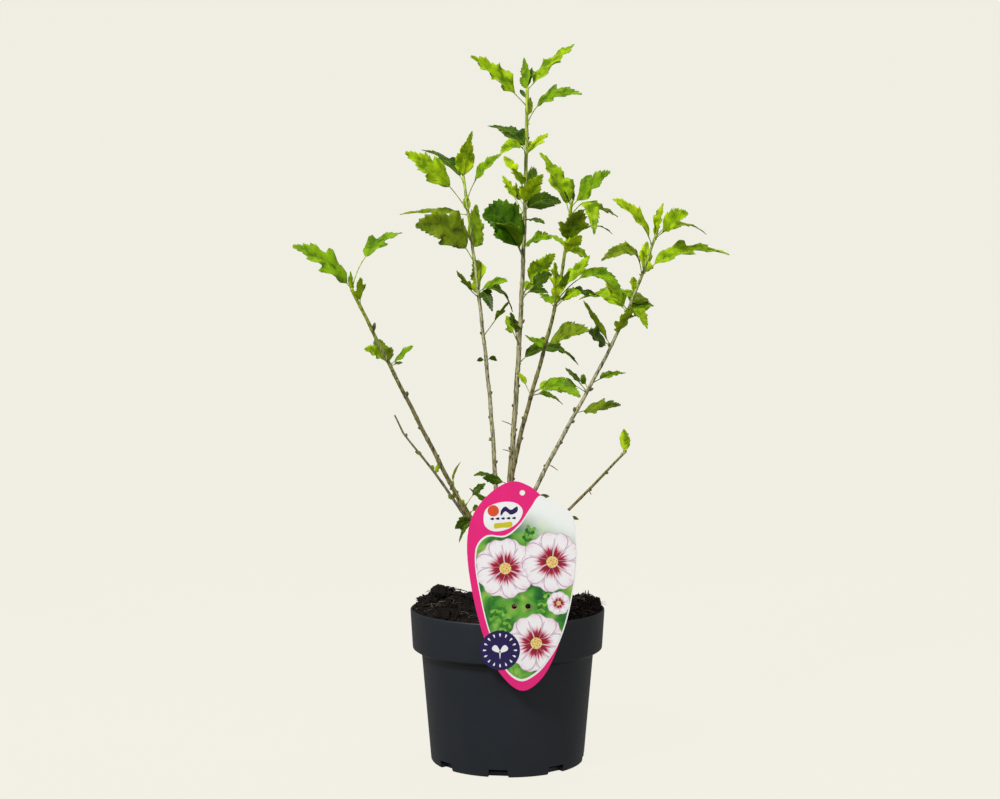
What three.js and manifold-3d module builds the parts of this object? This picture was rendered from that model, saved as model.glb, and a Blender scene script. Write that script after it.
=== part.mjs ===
import * as THREE from 'three';
import { mergeVertices } from 'three/addons/utils/BufferGeometryUtils.js';
import Module from 'manifold-3d';

// Potted rose of sharon, in mm, +Z up. The origin is the centre of the pot's flat underside.
// The front, where the care label hangs, faces -Y.

const wasm = await Module();
wasm.setup();

// ---- driving dimensions ----
const GAP = 0.3;

const POT = {
  height: 148, rimRadius: 94.5, rimFoot: 92.3, rimDepth: 37, stepDepth: 6,
  shoulder: 83.6, baseRadius: 74.6, wall: 1.5, floor: 3, sides: 48,
};
const NOTCH = { count: 8, width: 20, height: 7.5, depth: 9, turn: -96.7 };

const SOIL = { level: 149.5, flatRadius: 22, rings: 8, sectors: 26, seed: 11 };
const HEAP = { angle: 166, radius: 63, spread: 22, height: 18.5 };
const RIGHT_HEAP = { angle: 14, radius: 84, spread: 20, height: 8.5 };

const TRUNK = { x: -4, y: 0, top: 198, flare: 17.5, neck: 11.5, head: 13, leanX: -1.5, sides: 14 };

const LABEL = {
  thickness: 0.9, holeRadius: 2.6, slotHoles: [[6.3, 165], [18.9, 165]], hangHole: [13.6, 269.5],
  badge: [-6.8, 124.5, 18.2], tongueWidth: 14, tongueDrop: 5, reach: 4.5, tongueX: 7.5,
};
// The label's outline, clockwise from its top: a lopsided shield that leans a little to the left.
const SHIELD = [
  [5, 280], [20, 275.5], [34.5, 264], [57, 250.5], [63.5, 214], [56.5, 162], [33.5, 101], [13.8, 87],
  [-7, 103.5], [-27, 155], [-37, 222], [-31, 250], [-13, 271.5],
];

// A unit is the step in which runs along the shoots and leaf spans are written.
const UNIT = 0.97;
const LEAF = { fullness: 0.6, thickness: 0.85, smallThickness: 0.62, stalk: 0.65, fold: 24 };

// Each shoot leaves the trunk head at foot and ends at tip. bow pushes its middle sideways, swing bends it
// to an S, span is its rise in units, bare is how far up it stays bare, root and end are radii, and size
// scales its leaves.
// Each leaf row holds: units up the shoot, then the tip's run right, up and back of that node in units,
// the arch of the leaf's middle and its sway to the right, the width that shows from the front, and the leaf
// stalk's share of the run.
const SHOOTS = {
  far_left: {
    foot: [-14, -5], tip: [-142.3, -95, 456.3], bow: -1.5, swing: 0, span: 277, bare: 190,
    root: 2.6, end: 1.6, size: 0.94,
    leaves: [
      [272, -58, 46, -25, 7, 4, 20, 0.15],
      [276, 49, 58, 28, 9, -8, 18, 0.42],
      [260, 2, 28, -24, 1, 0, 9, 0.22],
      [202, -24, 18, -30, 4, 0, 9, 0.35],
      [204, -16, 27, 30, 1, 0, 13, 0.1],
      [203, 25, 20, -26, 1, 0, 8, 0.2],
      [273, -5, 17, 6, 0, 0, 5, 0.15],
      [275, -1, 19, -8, 0, 0, 4, 0.2],
      [202, 11, 4, 20, 1, 0, 4, 0.3],
    ],
  },
  left: {
    foot: [-10, 7], tip: [-46.7, 105, 584.3], bow: 7, swing: 1, span: 396, bare: 190,
    root: 2.6, end: 1.5, size: 1.04,
    leaves: [
      [384, 9, 48, -12, 0, -2, 18, 0.1],
      [380, -45, 38, 35, 5, 4, 12, 0.15],
      [350.5, -62, 57, -25, 6, 3, 24, 0.34],
      [361, 35, 45, -25, 3, -5, 10, 0.36],
      [349.5, -2.5, 18, 5, 0, 0, 9, 0.1],
      [347, -72, 3, 35, 3, 0, 7, 0.12],
      [296, -58, 36, -30, 14, 4, 40, 0.2],
      [311, 3, 48, 35, 0, 0, 20, 0.08],
      [266, -5, 35, 40, 0, 3, 20, 0.06],
      [267, 29, 10, -38, 4, 0, 9, 0.15],
      [265, 34, -17, 34, 14, 3, 8, 0.25],
      [265, 14, -17, -20, 9, 0, 14, 0.2],
      [262, -21.5, 26, -30, -2.5, 0, 6, 0.35],
      [223, 26, 35, -25, 0, 0, 5, 0.45],
      [197.5, -9, 1, -14, 2, 0, 5, 0.3],
      [198, 11, 0, 14, 3, 0, 6, 0.25],
    ],
  },
  centre: {
    foot: [-5, 1], tip: [19, 10, 652.2], bow: 5.2, swing: 0, span: 475, bare: 190,
    root: 3.2, end: 1.7, size: 1,
    leaves: [
      [457, -56, 46, -22, 3, 0, 21, 0.22],
      [473, 48, 50, 25, 2, 0, 15, 0.14],
      [471, -3, 37, 16, 0, 0, 10, 0.12],
      [463, -7, 12, 8, 1, 0, 5, 0.2],
      [438, 54, 27, -28, 12, -7, 14, 0.3],
      [445, 4, 23, 10, 0, 0, 7, 0.15],
      [409, -39, 33, 34, 5, 8, 19, 0.2],
      [410, -26, -4, -30, 9, 2, 13, 0.2],
      [371, -21, 40, 30, 2, 0, 11, 0.5],
      [370, -12, 22, -38, 3, 0, 10, 0.3],
      [385, -7, 5, 20, 0, 0, 6, 0.2],
      [409, 22, 25, 30, 1, 0, 9, 0.12],
      [376, 12, 20, 38, 2, 0, 16, 0.12],
      [361, 17, 26, -30, 1, -2, 19, 0.05],
      [305, -40, 40, -26, 17, 0, 52, 0.14],
      [347, -22, 43, 18, 1, 0, 11, 0.45],
      [357, -9, 27, 25, 0, -2, 5, 0.3],
      [354, 37, 10, 28, 6, 0, 22, 0.08],
      [344, 19, -6, -38, 2, 0, 7, 0.12],
      [318, 27, 6, -32, 3, 0, 13, 0.05],
      [266, 34, 46, 24, 3, -2, 22, 0.33],
      [264, 30, 25, -34, 4, 0, 20, 0.4],
      [218, -8, 34, -30, 0, 0, 9, 0.42],
      [219, -13, 30, 30, 0, 0, 9, 0.45],
      [200, 62, -1, 32, 18, 0, 11, 0.12],
      [473, 5, 24, 6, 0, 0, 4, 0.2],
    ],
  },
  right_centre: {
    foot: [-3, -8], tip: [58.6, -100, 536.2], bow: -3.7, swing: -5.5, span: 365, bare: 158,
    root: 2.8, end: 1.4, size: 0.94,
    leaves: [
      [348, -30, 67, 22, 0, 5, 22, 0.22],
      [358, 37, 32, -30, 3, 0, 18, 0.14],
      [349, 22, -20, -40, 22, 6, 14, 0.35],
      [350, 50, 1, 35, 8, 0, 8, 0.45],
      [319, 13, 36, -42, 2, 0, 32, 0.2],
      [313, 15, 18, -34, 0, 0, 14, 0.2],
      [321, 49, 15, 40, 14, 0, 4, 0.45],
      [319, -15, 16, 35, 2, 0, 4, 0.2],
      [264, -1, 43, -34, 0, 0, 12, 0.1],
      [262, 30, 20, 42, 3, 0, 13, 0.5],
      [269, 13, 30, -20, 1, 0, 10, 0.2],
      [273, 34, 43, 30, 0, 0, 14, 0.35],
      [268, 66, 2, -28, 27, 4, 11, 0.3],
      [233, -23, 3, -25, -6, 0, 10, 0.15],
      [225, 43, 15, -38, 4, 0, 17, 0.12],
      [175, -12, 24, 15, 1, 0, 7, 0.45],
      [177, 49, -2, -30, 10, 0, 16, 0.2],
      [175, 34, -10, 32, 6, 0, 6, 0.25],
      [358, -8, 17, -4, 0, 0, 3, 0.2],
      [359, 3, 16, 6, 0, 0, 3, 0.2],
    ],
  },
  right: {
    foot: [-7, 12], tip: [152.9, 88, 520.3], bow: 5.5, swing: -4, span: 335, bare: 133,
    root: 2.5, end: 1.4, size: 1.04,
    leaves: [
      [318, -42, 45, -25, 4, 5, 16, 0.15],
      [325, 3, 30, 10, 0, 0, 8, 0.12],
      [329, 7, 32, -8, 0, 0, 8, 0.15],
      [326, 29, 22, -42, 4, 0, 18, 0.25],
      [324, 57, 8, 36, 13, 0, 8, 0.15],
      [287, -42, 14, -25, 17, 9, 13, 0.2],
      [290, 7, 33, 28, 0, 0, 17, 0.06],
      [289, 90, 20, 20, 13, -3, 15, 0.16],
      [251, -25, 33, -26, 1, 0, 12, 0.2],
      [249, -46, 14, 36, 10, 4, 14, 0.12],
      [250, 17, -17, -38, 8, 0, 9, 0.1],
      [257, 19, 8, 42, 4, 0, 20, 0.1],
      [266, 1, 20, 14, 1, 0, 10, 0.15],
      [227, 10, 26, -38, 1, 2, 16, 0.08],
      [215, -26, 46, 30, 0, 0, 5, 0.15],
      [215, -24, 13, -42, 2, -2, 16, 0.2],
      [177, 36, 10, 30, 3, 0, 7, 0.25],
      [169, -20, 23, 38, 1, 0, 4, 0.35],
      [168, -29, 14, -20, 2, 0, 6, 0.35],
      [148, 42, 9, -36, 1, 0, 12, 0.2],
      [171, -6, 14, 20, 1, 0, 8, 0.35],
    ],
  },
  low_right: {
    foot: [6, -3], tip: [109.5, -70, 305.3], bow: 1.4, swing: 0, span: 108, bare: 94,
    root: 1.8, end: 1.2, size: 0.95,
    leaves: [
      [107, -1, 25, -6, 0, 0, 11, 0.05],
      [104, 6, 5, 5, 1, 0, 4, 0.3],
    ],
  },
  low_left: {
    foot: [-8, -9], tip: [-43, -44, 257.5], bow: 0, swing: 0, span: 66, bare: 26,
    root: 1.5, end: 1.0, size: 0.98,
    leaves: [
      [46, -14, -20, -20, 5, 0, 3, 0.3],
      [43, -20, -4, -14, 4, 0, 15, 0.15],
      [52, 9, 8, -12, 2, 0, 7, 0.3],
      [60, 20, 22, 6, 3, 0, 8, 0.35],
      [63, -3, 41, 4, 0, -9, 3, 0.4],
    ],
  },
};
const TWIG = { foot: [-12, 3], tip: [-114.9, 75, 327.3], bow: 4, swing: 0, span: 146, root: 1.5, end: 0.7 };

// Half width of a blade along its length, as [place, share of half the width, run ahead of the midrib].
const LOBED = [
  [0, 0.1, 0], [0.15, 0.6, 0], [0.34, 1, 0.09], [0.52, 0.68, 0.02], [0.74, 0.5, 0.04], [1, 0.04, 0],
];
const PLAIN = [[0, 0.14, 0], [0.42, 0.9, 0.03], [1, 0.05, 0]];

const COLOURS = {
  pot: 0x282c30, soil: 0x241a12, label: 0xe6287d, trunk: 0x8f8a6a, stem: 0x8a9150, dead: 0x8b8272,
  foliage: 0x5c8f22,
};

// ---- helpers ----
const UP = new THREE.Vector3(0, 0, 1);
const RIGHT = new THREE.Vector3(1, 0, 0);

// Draws numbers from 0 to 1 that are the same on every run.
function draws(seed) {
  let state = seed >>> 0;
  return () => {
    state = (Math.imul(state, 1664525) + 1013904223) >>> 0;
    return state / 4294967296;
  };
}

function meshOf(positions, faces) {
  const geometry = new THREE.BufferGeometry();
  geometry.setAttribute('position', new THREE.Float32BufferAttribute(positions, 3));
  geometry.setIndex(faces);
  return geometry;
}

function solidOf(source) {
  const bare = source.clone();
  bare.deleteAttribute('normal');
  bare.deleteAttribute('uv');
  const merged = mergeVertices(bare, 1e-4);
  return new wasm.Manifold(new wasm.Mesh({
    numProp: 3,
    vertProperties: new Float32Array(merged.attributes.position.array),
    triVerts: new Uint32Array(merged.index.array),
  }));
}

// Keeps the largest piece, so a sealed hollow is filled and a loose scrap is dropped.
function wholeOf(solid) {
  const pieces = solid.decompose();
  pieces.sort((a, b) => b.volume() - a.volume());
  return pieces[0];
}

function geometryOf(solid) {
  const mesh = solid.getMesh();
  return meshOf(Array.from(mesh.vertProperties), Array.from(mesh.triVerts));
}

// Closes rings of equal size into one solid with flat ends.
function skin(rings) {
  const positions = [];
  const faces = [];
  const n = rings[0].length;
  for (const ring of rings) {
    for (const p of ring) positions.push(p.x, p.y, p.z);
  }
  for (let r = 0; r + 1 < rings.length; r += 1) {
    for (let i = 0; i < n; i += 1) {
      const a = r * n + i;
      const b = r * n + ((i + 1) % n);
      faces.push(a, b, a + n, b, b + n, a + n);
    }
  }
  const last = (rings.length - 1) * n;
  for (let i = 1; i + 1 < n; i += 1) {
    faces.push(0, i + 1, i);
    faces.push(last, last + i, last + i + 1);
  }
  return meshOf(positions, faces);
}

// ---- shoots ----
function shootPoint(shoot, t) {
  const [fx, fy] = shoot.foot;
  const [tx, ty, tz] = shoot.tip;
  const fz = TRUNK.top - 8;
  return new THREE.Vector3(
    fx + (tx - fx) * t + shoot.bow * 4 * t * (1 - t) + shoot.swing * Math.sin(2 * Math.PI * t),
    fy + (ty - fy) * Math.max(t, 0) ** 1.2,
    fz + (tz - fz) * t,
  );
}

function shootRadius(shoot, t) {
  return shoot.root + (shoot.end - shoot.root) * t;
}

function limb(shoot, from, to, steps, sides) {
  const rings = [];
  for (let k = 0; k <= steps; k += 1) {
    const t = from + ((to - from) * k) / steps;
    const centre = shootPoint(shoot, t);
    const ahead = shootPoint(shoot, t + 0.01).sub(shootPoint(shoot, t - 0.01)).normalize();
    const side = new THREE.Vector3(1, 0, 0).cross(ahead).normalize();
    const across = side.clone().cross(ahead).negate();
    const r = shootRadius(shoot, t) / Math.cos(Math.PI / sides) ** 0.5;
    const ring = [];
    for (let i = 0; i < sides; i += 1) {
      const a = (-2 * Math.PI * i) / sides;
      ring.push(centre.clone().addScaledVector(side, r * Math.sin(a)).addScaledVector(across, r * Math.cos(a)));
    }
    rings.push(ring);
  }
  return skin(rings);
}

// ---- leaves ----
// One leaf with its stalk: six points round each section, along a curve from the node to the leaf's tip.
function leafRings(shoot, row, chance, grow) {
  const [, right, up, back, arch, sway, shown, stalk] = row;
  const unit = UNIT * shoot.size;
  const node = shootPoint(shoot, row[0] / shoot.span);
  const run = new THREE.Vector3(right, back, up).multiplyScalar(unit);
  const long = run.length();
  const bladeLong = long * (1 - stalk);
  const middle = node.clone().addScaledVector(run, 0.5);
  middle.addScaledVector(UP, 2 * arch * unit).addScaledVector(RIGHT, 2 * sway * unit);
  const curve = new THREE.QuadraticBezierCurve3(node, middle, node.clone().add(run));
  const full = LEAF.fullness * bladeLong * (long < 22 ? 0.55 : 1);
  const wide = Math.max(shown * unit, Math.min(full, 1.8 * shown * unit + 0.06 * bladeLong));
  const fold = Math.tan(((LEAF.fold + 14 * (chance() - 0.5)) * Math.PI) / 180);
  const skew = 1 + 0.16 * (chance() - 0.5);
  const thick = long > 34 ? LEAF.thickness : LEAF.smallThickness;
  const roll = rollFor(run, wide, shown * unit);
  const stations = long > 30 ? LOBED : PLAIN;
  const rings = [];
  const place = (s, half, ahead, thickHere) => {
    const ring = [];
    const spot = curve.getPoint(s);
    const along = curve.getTangent(s);
    const { side, face } = frameAt(along, roll);
    const lift = half * fold;
    const t = thickHere / 2 + grow;
    const h = half + grow;
    const edge = (reach) => {
      const p = spot.clone().addScaledVector(along, ahead);
      return p.addScaledVector(side, reach).addScaledVector(face, lift);
    };
    const left = edge(-h * skew);
    const rightEdge = edge(h / skew);
    ring.push(left.clone().addScaledVector(face, t));
    ring.push(left.clone().addScaledVector(face, -t));
    ring.push(spot.clone().addScaledVector(face, -t));
    ring.push(rightEdge.clone().addScaledVector(face, -t));
    ring.push(rightEdge.clone().addScaledVector(face, t));
    ring.push(spot.clone().addScaledVector(face, t));
    rings.push(ring.reverse());
  };
  place(0, LEAF.stalk, 0, 1.1);
  for (const [u, share, ahead] of stations) {
    place(stalk + (1 - stalk) * u, Math.max((wide / 2) * share, 0.4), ahead * bladeLong, u === 0 ? 1.1 : thick);
  }
  return rings;
}

// Side and face directions of a blade that runs along a direction, rolled from face-up towards the front.
function frameAt(along, roll) {
  const side = along.clone().cross(UP);
  if (side.length() < 0.05) side.set(1, 0, 0);
  side.normalize();
  const face = side.clone().cross(along).normalize();
  const sense = along.clone().cross(face).y > 0 ? -1 : 1;
  side.applyAxisAngle(along, sense * roll);
  face.applyAxisAngle(along, sense * roll);
  return { side, face };
}

// The roll, in steps of five degrees, at which a blade shows the wanted width from the front.
function rollFor(run, wide, shown) {
  const along = run.clone().normalize();
  const seen = new THREE.Vector3(along.x, 0, along.z).normalize();
  let best = 0;
  let least = Infinity;
  for (let step = 0; step <= 16; step += 1) {
    const roll = (step * 5 * Math.PI) / 180;
    const { side } = frameAt(along, roll);
    const width = wide * Math.abs(side.x * seen.z - side.z * seen.x);
    if (Math.abs(width - shown) < least) {
      least = Math.abs(width - shown);
      best = roll;
    }
  }
  return best;
}

// ---- pot ----
function potSolid() {
  const { height: h, wall: w } = POT;
  const step = h - POT.rimDepth;
  const under = step - POT.stepDepth;
  const outline = [
    [0, 0], [POT.baseRadius - 1.2, 0], [POT.baseRadius, 1.4], [POT.shoulder, under],
    [POT.rimFoot - 1, step - 1.5], [POT.rimFoot, step], [POT.rimRadius, h - 1.2], [POT.rimRadius - 0.8, h],
    [POT.rimRadius - w - 0.2, h], [POT.rimRadius - w - 0.9, h - 1.5], [POT.rimFoot - w, step + 1.5],
    [POT.shoulder - w, under + 1.5], [POT.baseRadius - w, POT.floor], [0, POT.floor],
  ];
  const body = new THREE.LatheGeometry(outline.map(([x, y]) => new THREE.Vector2(x, y)), POT.sides);
  body.rotateX(Math.PI / 2);
  let solid = solidOf(body);
  for (let i = 0; i < NOTCH.count; i += 1) {
    const cut = new THREE.Shape();
    cut.moveTo(-NOTCH.width / 2, -2);
    cut.lineTo(NOTCH.width / 2, -2);
    cut.lineTo(NOTCH.width / 2 - 1.6, NOTCH.height);
    cut.lineTo(-NOTCH.width / 2 + 1.6, NOTCH.height);
    cut.closePath();
    const wedge = new THREE.ExtrudeGeometry(cut, { depth: NOTCH.depth, bevelEnabled: false });
    wedge.rotateX(Math.PI / 2);
    wedge.translate(0, POT.baseRadius + 3, 0);
    wedge.rotateZ(((NOTCH.turn + (360 / NOTCH.count) * i - 90) * Math.PI) / 180);
    solid = solid.subtract(solidOf(wedge));
  }
  return wholeOf(solid);
}

// ---- potting soil: a filled body with a lumpy top that heaps up at the back left ----
function soilTop(x, y, chance) {
  const r = Math.hypot(x, y);
  const edge = THREE.MathUtils.smoothstep(r, SOIL.flatRadius, SOIL.flatRadius + 22);
  let z = SOIL.level - 2.5 * THREE.MathUtils.smoothstep(r, 70, 92);
  for (const heap of [HEAP, RIGHT_HEAP]) {
    const a = (heap.angle * Math.PI) / 180;
    const d = Math.hypot(x - heap.radius * Math.cos(a), y - heap.radius * Math.sin(a));
    z += edge * heap.height * Math.exp(-((d / heap.spread) ** 2));
  }
  return z + edge * 2.4 * (chance() - 0.5);
}

function soilSolid() {
  const chance = draws(SOIL.seed);
  const inner = POT.rimRadius - POT.wall - 1.7;
  const step = POT.height - POT.rimDepth;
  const under = step - POT.stepDepth;
  const foot = POT.baseRadius - POT.wall - 0.6;
  const belt = POT.shoulder - POT.wall - GAP - 0.3;
  const lip = POT.rimFoot - POT.wall - GAP - 0.5;
  const wall = [[foot, POT.floor + GAP], [belt - 0.3, under + 1], [lip, step + 2.5]];
  const rings = [];
  for (const [r, z] of wall) {
    rings.push(soilRing(() => z, r));
  }
  for (let k = 0; k < SOIL.rings; k += 1) {
    const r = inner - ((inner - SOIL.flatRadius) * k) / (SOIL.rings - 1);
    rings.push(soilRing((x, y) => soilTop(x, y, chance), r));
  }
  const slot = new THREE.BoxGeometry(LABEL.tongueWidth + 1, LABEL.reach, LABEL.tongueDrop * 2);
  slot.translate(LABEL.tongueX, -POT.rimRadius + LABEL.reach + 1.5, POT.height + 1);
  return solidOf(skin(rings)).subtract(solidOf(slot));
}

function soilRing(level, r) {
  const ring = [];
  for (let i = 0; i < SOIL.sectors; i += 1) {
    const a = (2 * Math.PI * i) / SOIL.sectors;
    const x = r * Math.cos(a);
    const y = r * Math.sin(a);
    ring.push(new THREE.Vector3(x, y, level(x, y)));
  }
  return ring;
}

// ---- trunk: a short stool with a root flare and a swollen head, cut flat at soil level ----
function trunkSolid(grow) {
  const foot = SOIL.level + GAP - grow;
  const tall = TRUNK.top - SOIL.level - GAP + 2 * grow;
  const levels = [[0, 1], [0.12, 0.62], [0.35, 0.2], [0.62, 0], [0.8, -0.25], [0.93, 0.1], [1, 0.62]];
  const rings = [];
  for (const [t, flare] of levels) {
    const wide = flare > 0 ? TRUNK.neck + (TRUNK.flare - TRUNK.neck) * flare * (t < 0.5 ? 1 : 0) : TRUNK.head;
    const shrink = t > 0.9 ? 1 - 0.4 * (t - 0.9) * 10 : 1;
    const ring = [];
    for (let i = 0; i < TRUNK.sides; i += 1) {
      const a = (2 * Math.PI * i) / TRUNK.sides;
      const root = 1 + (t < 0.3 ? 0.13 : 0.03) * Math.cos(5 * a + 0.7);
      const r = wide * shrink * root + grow;
      ring.push(new THREE.Vector3(
        TRUNK.x + TRUNK.leanX * t + r * Math.cos(a),
        TRUNK.y + r * Math.sin(a),
        foot + tall * t,
      ));
    }
    rings.push(ring);
  }
  return solidOf(skin(rings));
}

// ---- hook-on care label: a flat plate in front of the rim, with a tongue that grips behind it ----
function labelShape() {
  const corners = SHIELD.map(([x, z]) => new THREE.Vector3(x, z, 0));
  const outline = new THREE.CatmullRomCurve3(corners, true, 'centripetal').getPoints(SHIELD.length * 3);
  outline.pop();
  return new THREE.Shape(outline.map((p) => new THREE.Vector2(p.x, p.y)));
}

function labelDisc(x, z, radius, thickness, sides) {
  const disc = new THREE.CylinderGeometry(radius, radius, thickness, sides);
  disc.translate(x, -LABEL.thickness / 2, z);
  return solidOf(disc);
}

function labelSolid() {
  const plate = new THREE.ExtrudeGeometry(labelShape(), { depth: LABEL.thickness, bevelEnabled: false });
  plate.rotateX(Math.PI / 2);
  const [badgeX, badgeZ, badgeRadius] = LABEL.badge;
  let sheet = solidOf(plate).add(labelDisc(badgeX, badgeZ, badgeRadius, LABEL.thickness, 24));
  for (const [x, z] of [...LABEL.slotHoles, LABEL.hangHole]) {
    sheet = sheet.subtract(labelDisc(x, z, LABEL.holeRadius, LABEL.thickness * 3, 10));
  }
  const face = -POT.rimRadius - GAP;
  const span = POT.wall + LABEL.reach;
  const over = new THREE.BoxGeometry(LABEL.tongueWidth, span, LABEL.thickness);
  over.translate(LABEL.tongueX, span / 2 - 0.4, POT.height + GAP + LABEL.thickness / 2);
  const tongue = new THREE.BoxGeometry(LABEL.tongueWidth, LABEL.thickness, LABEL.tongueDrop);
  const hang = POT.height + GAP + LABEL.thickness - LABEL.tongueDrop / 2;
  tongue.translate(LABEL.tongueX, span - 0.4 - LABEL.thickness / 2, hang);
  const hook = solidOf(over).add(solidOf(tongue));
  return wholeOf(sheet.add(hook).translate([0, face, 0]));
}

// ---- assembly ----
const group = new THREE.Group();
const placed = [];

function put(name, solid, colour, roughness = 0.75) {
  const mesh = new THREE.Mesh(geometryOf(solid), new THREE.MeshStandardMaterial({ color: colour, roughness }));
  mesh.name = name;
  group.add(mesh);
  placed.push(solid);
}

const trunkGrown = trunkSolid(GAP);

put('pot', potSolid(), COLOURS.pot, 0.45);
put('soil', soilSolid(), COLOURS.soil, 0.95);
put('label', labelSolid(), COLOURS.label, 0.4);
put('trunk', trunkSolid(0), COLOURS.trunk);

for (const [name, shoot] of Object.entries(SHOOTS)) {
  const to = shoot.bare / shoot.span;
  const steps = Math.max(4, Math.round(shoot.bare / 20));
  const bough = solidOf(limb(shoot, 0, to, steps, 7)).subtract(trunkGrown);
  put(`shoot_${name}`, wholeOf(bough), COLOURS.stem);
}
put('dead_twig', wholeOf(solidOf(limb(TWIG, 0, 1, 7, 5)).subtract(trunkGrown)), COLOURS.dead);

let seed = 100;
for (const [name, shoot] of Object.entries(SHOOTS)) {
  seed += 1;
  const from = (shoot.bare + GAP / UNIT + 0.05) / shoot.span;
  const steps = Math.max(2, Math.round((shoot.span - shoot.bare) / 22));
  const parts = [solidOf(limb(shoot, from, 1, steps, 3))];
  shoot.leaves.forEach((row, k) => {
    const mark = seed * 100 + k;
    const fat = solidOf(skin(leafRings(shoot, row, draws(mark), 0.45)));
    const clear = placed.every((other) => fat.intersect(other).isEmpty());
    if (clear) parts.push(solidOf(skin(leafRings(shoot, row, draws(mark), 0))));
  });
  put(`foliage_${name}`, wholeOf(wasm.Manifold.union(parts)), COLOURS.foliage);
}

export default group;
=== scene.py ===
"""Potted rose of sharon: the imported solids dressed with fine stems, leaves, soil, pot and care label."""

from math import cos, exp, hypot, pi, radians, sin, sqrt, tan

import bmesh
import bpy
from mathutils import Matrix, Quaternion, Vector, noise


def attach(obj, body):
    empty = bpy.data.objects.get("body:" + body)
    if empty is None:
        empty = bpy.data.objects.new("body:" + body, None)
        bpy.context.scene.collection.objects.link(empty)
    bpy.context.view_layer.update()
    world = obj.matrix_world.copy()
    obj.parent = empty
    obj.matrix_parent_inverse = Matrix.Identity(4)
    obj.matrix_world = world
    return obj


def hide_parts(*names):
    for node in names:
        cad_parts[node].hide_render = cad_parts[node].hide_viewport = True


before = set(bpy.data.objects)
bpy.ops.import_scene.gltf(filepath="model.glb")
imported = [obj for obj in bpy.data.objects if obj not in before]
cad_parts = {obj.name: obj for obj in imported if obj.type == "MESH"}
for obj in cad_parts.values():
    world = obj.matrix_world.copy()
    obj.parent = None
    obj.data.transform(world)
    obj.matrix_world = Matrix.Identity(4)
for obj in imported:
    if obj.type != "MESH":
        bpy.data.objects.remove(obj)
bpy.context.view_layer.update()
scene = bpy.context.scene

MM = 0.001
TURN = 2 * pi
UP = Vector((0, 0, 1))
RIGHT = Vector((1, 0, 0))

# ---- named sizes, in mm, as in the part's source ----
POT = dict(
    height=148, rim_radius=94.5, rim_foot=92.3, rim_depth=37, step_depth=6,
    shoulder=83.6, base_radius=74.6, wall=1.5, floor=3,
)
NOTCH = dict(count=8, width=20, height=7.5, turn=-96.7)
SOIL = dict(level=149.5, flat_radius=22, edge_radius=91.6)
TRUNK = dict(x=-4, y=0, top=198, flare=17.5, neck=11.5, head=13, lean_x=-1.5)
LABEL = dict(
    thickness=0.9, hole_radius=2.6, slot_holes=((6.3, 165), (18.9, 165)), hang_hole=(13.6, 269.5),
    badge=(-6.8, 124.5, 18.2), tongue_width=14, tongue_drop=5, reach=4.5, tongue_x=7.5,
)
SHIELD = (
    (5, 280), (20, 275.5), (34.5, 264), (57, 250.5), (63.5, 214), (56.5, 162), (33.5, 101), (13.8, 87),
    (-7, 103.5), (-27, 155), (-37, 222), (-31, 250), (-13, 271.5),
)
GAP = 0.3
UNIT = 0.97
LEAF = dict(fullness=0.6, fold=24, small=22)

# ---- named sizes of this dress ----
# The heaps are lower than the source's, because clods lie on them.
HEAPS = (
    dict(angle=166, radius=63, spread=24, height=12),
    dict(angle=11, radius=88, spread=25, height=6),
)
# A notch's cutter starts 3 mm outside the foot and is as deep as this.
NOTCH_REACH = 11
POT_SIDES = 192
POT_SHARP_FROM = 32
# The length from which a leaf is lobed, and from which its stalk is stout.
LOBED_FROM = 30
STOUT_FROM = 40
# Stems: how much slimmer than the solids, the length of a step and between nodes, and how soon they green.
BOUGH_SLIM = 0.92
STEM_STEP = 1.7
NODE_EVERY = 21
GREENING = 5.1
# Soil: how many of each, how far out a fibre may reach, the bed's lowest height, and the height from
# which a fibre clears the rim.
COUNTS = dict(crumbs=1500, fibres=1700, straws=150, bristles=22, small_clods=90)
FIBRE_LIMIT = 97
BED_UNDERSIDE = 118
BRIM = POT["height"] + 0.6
# Label: where its face stands, how thick a print is, and how far the white line runs round the picture.
LABEL_FACE = -POT["rim_radius"] - GAP - LABEL["thickness"]
PRINT_THICKNESS = 0.05
KEYLINE_SCALE = 1.028
PLATE_BEVEL = 0.12

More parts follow.
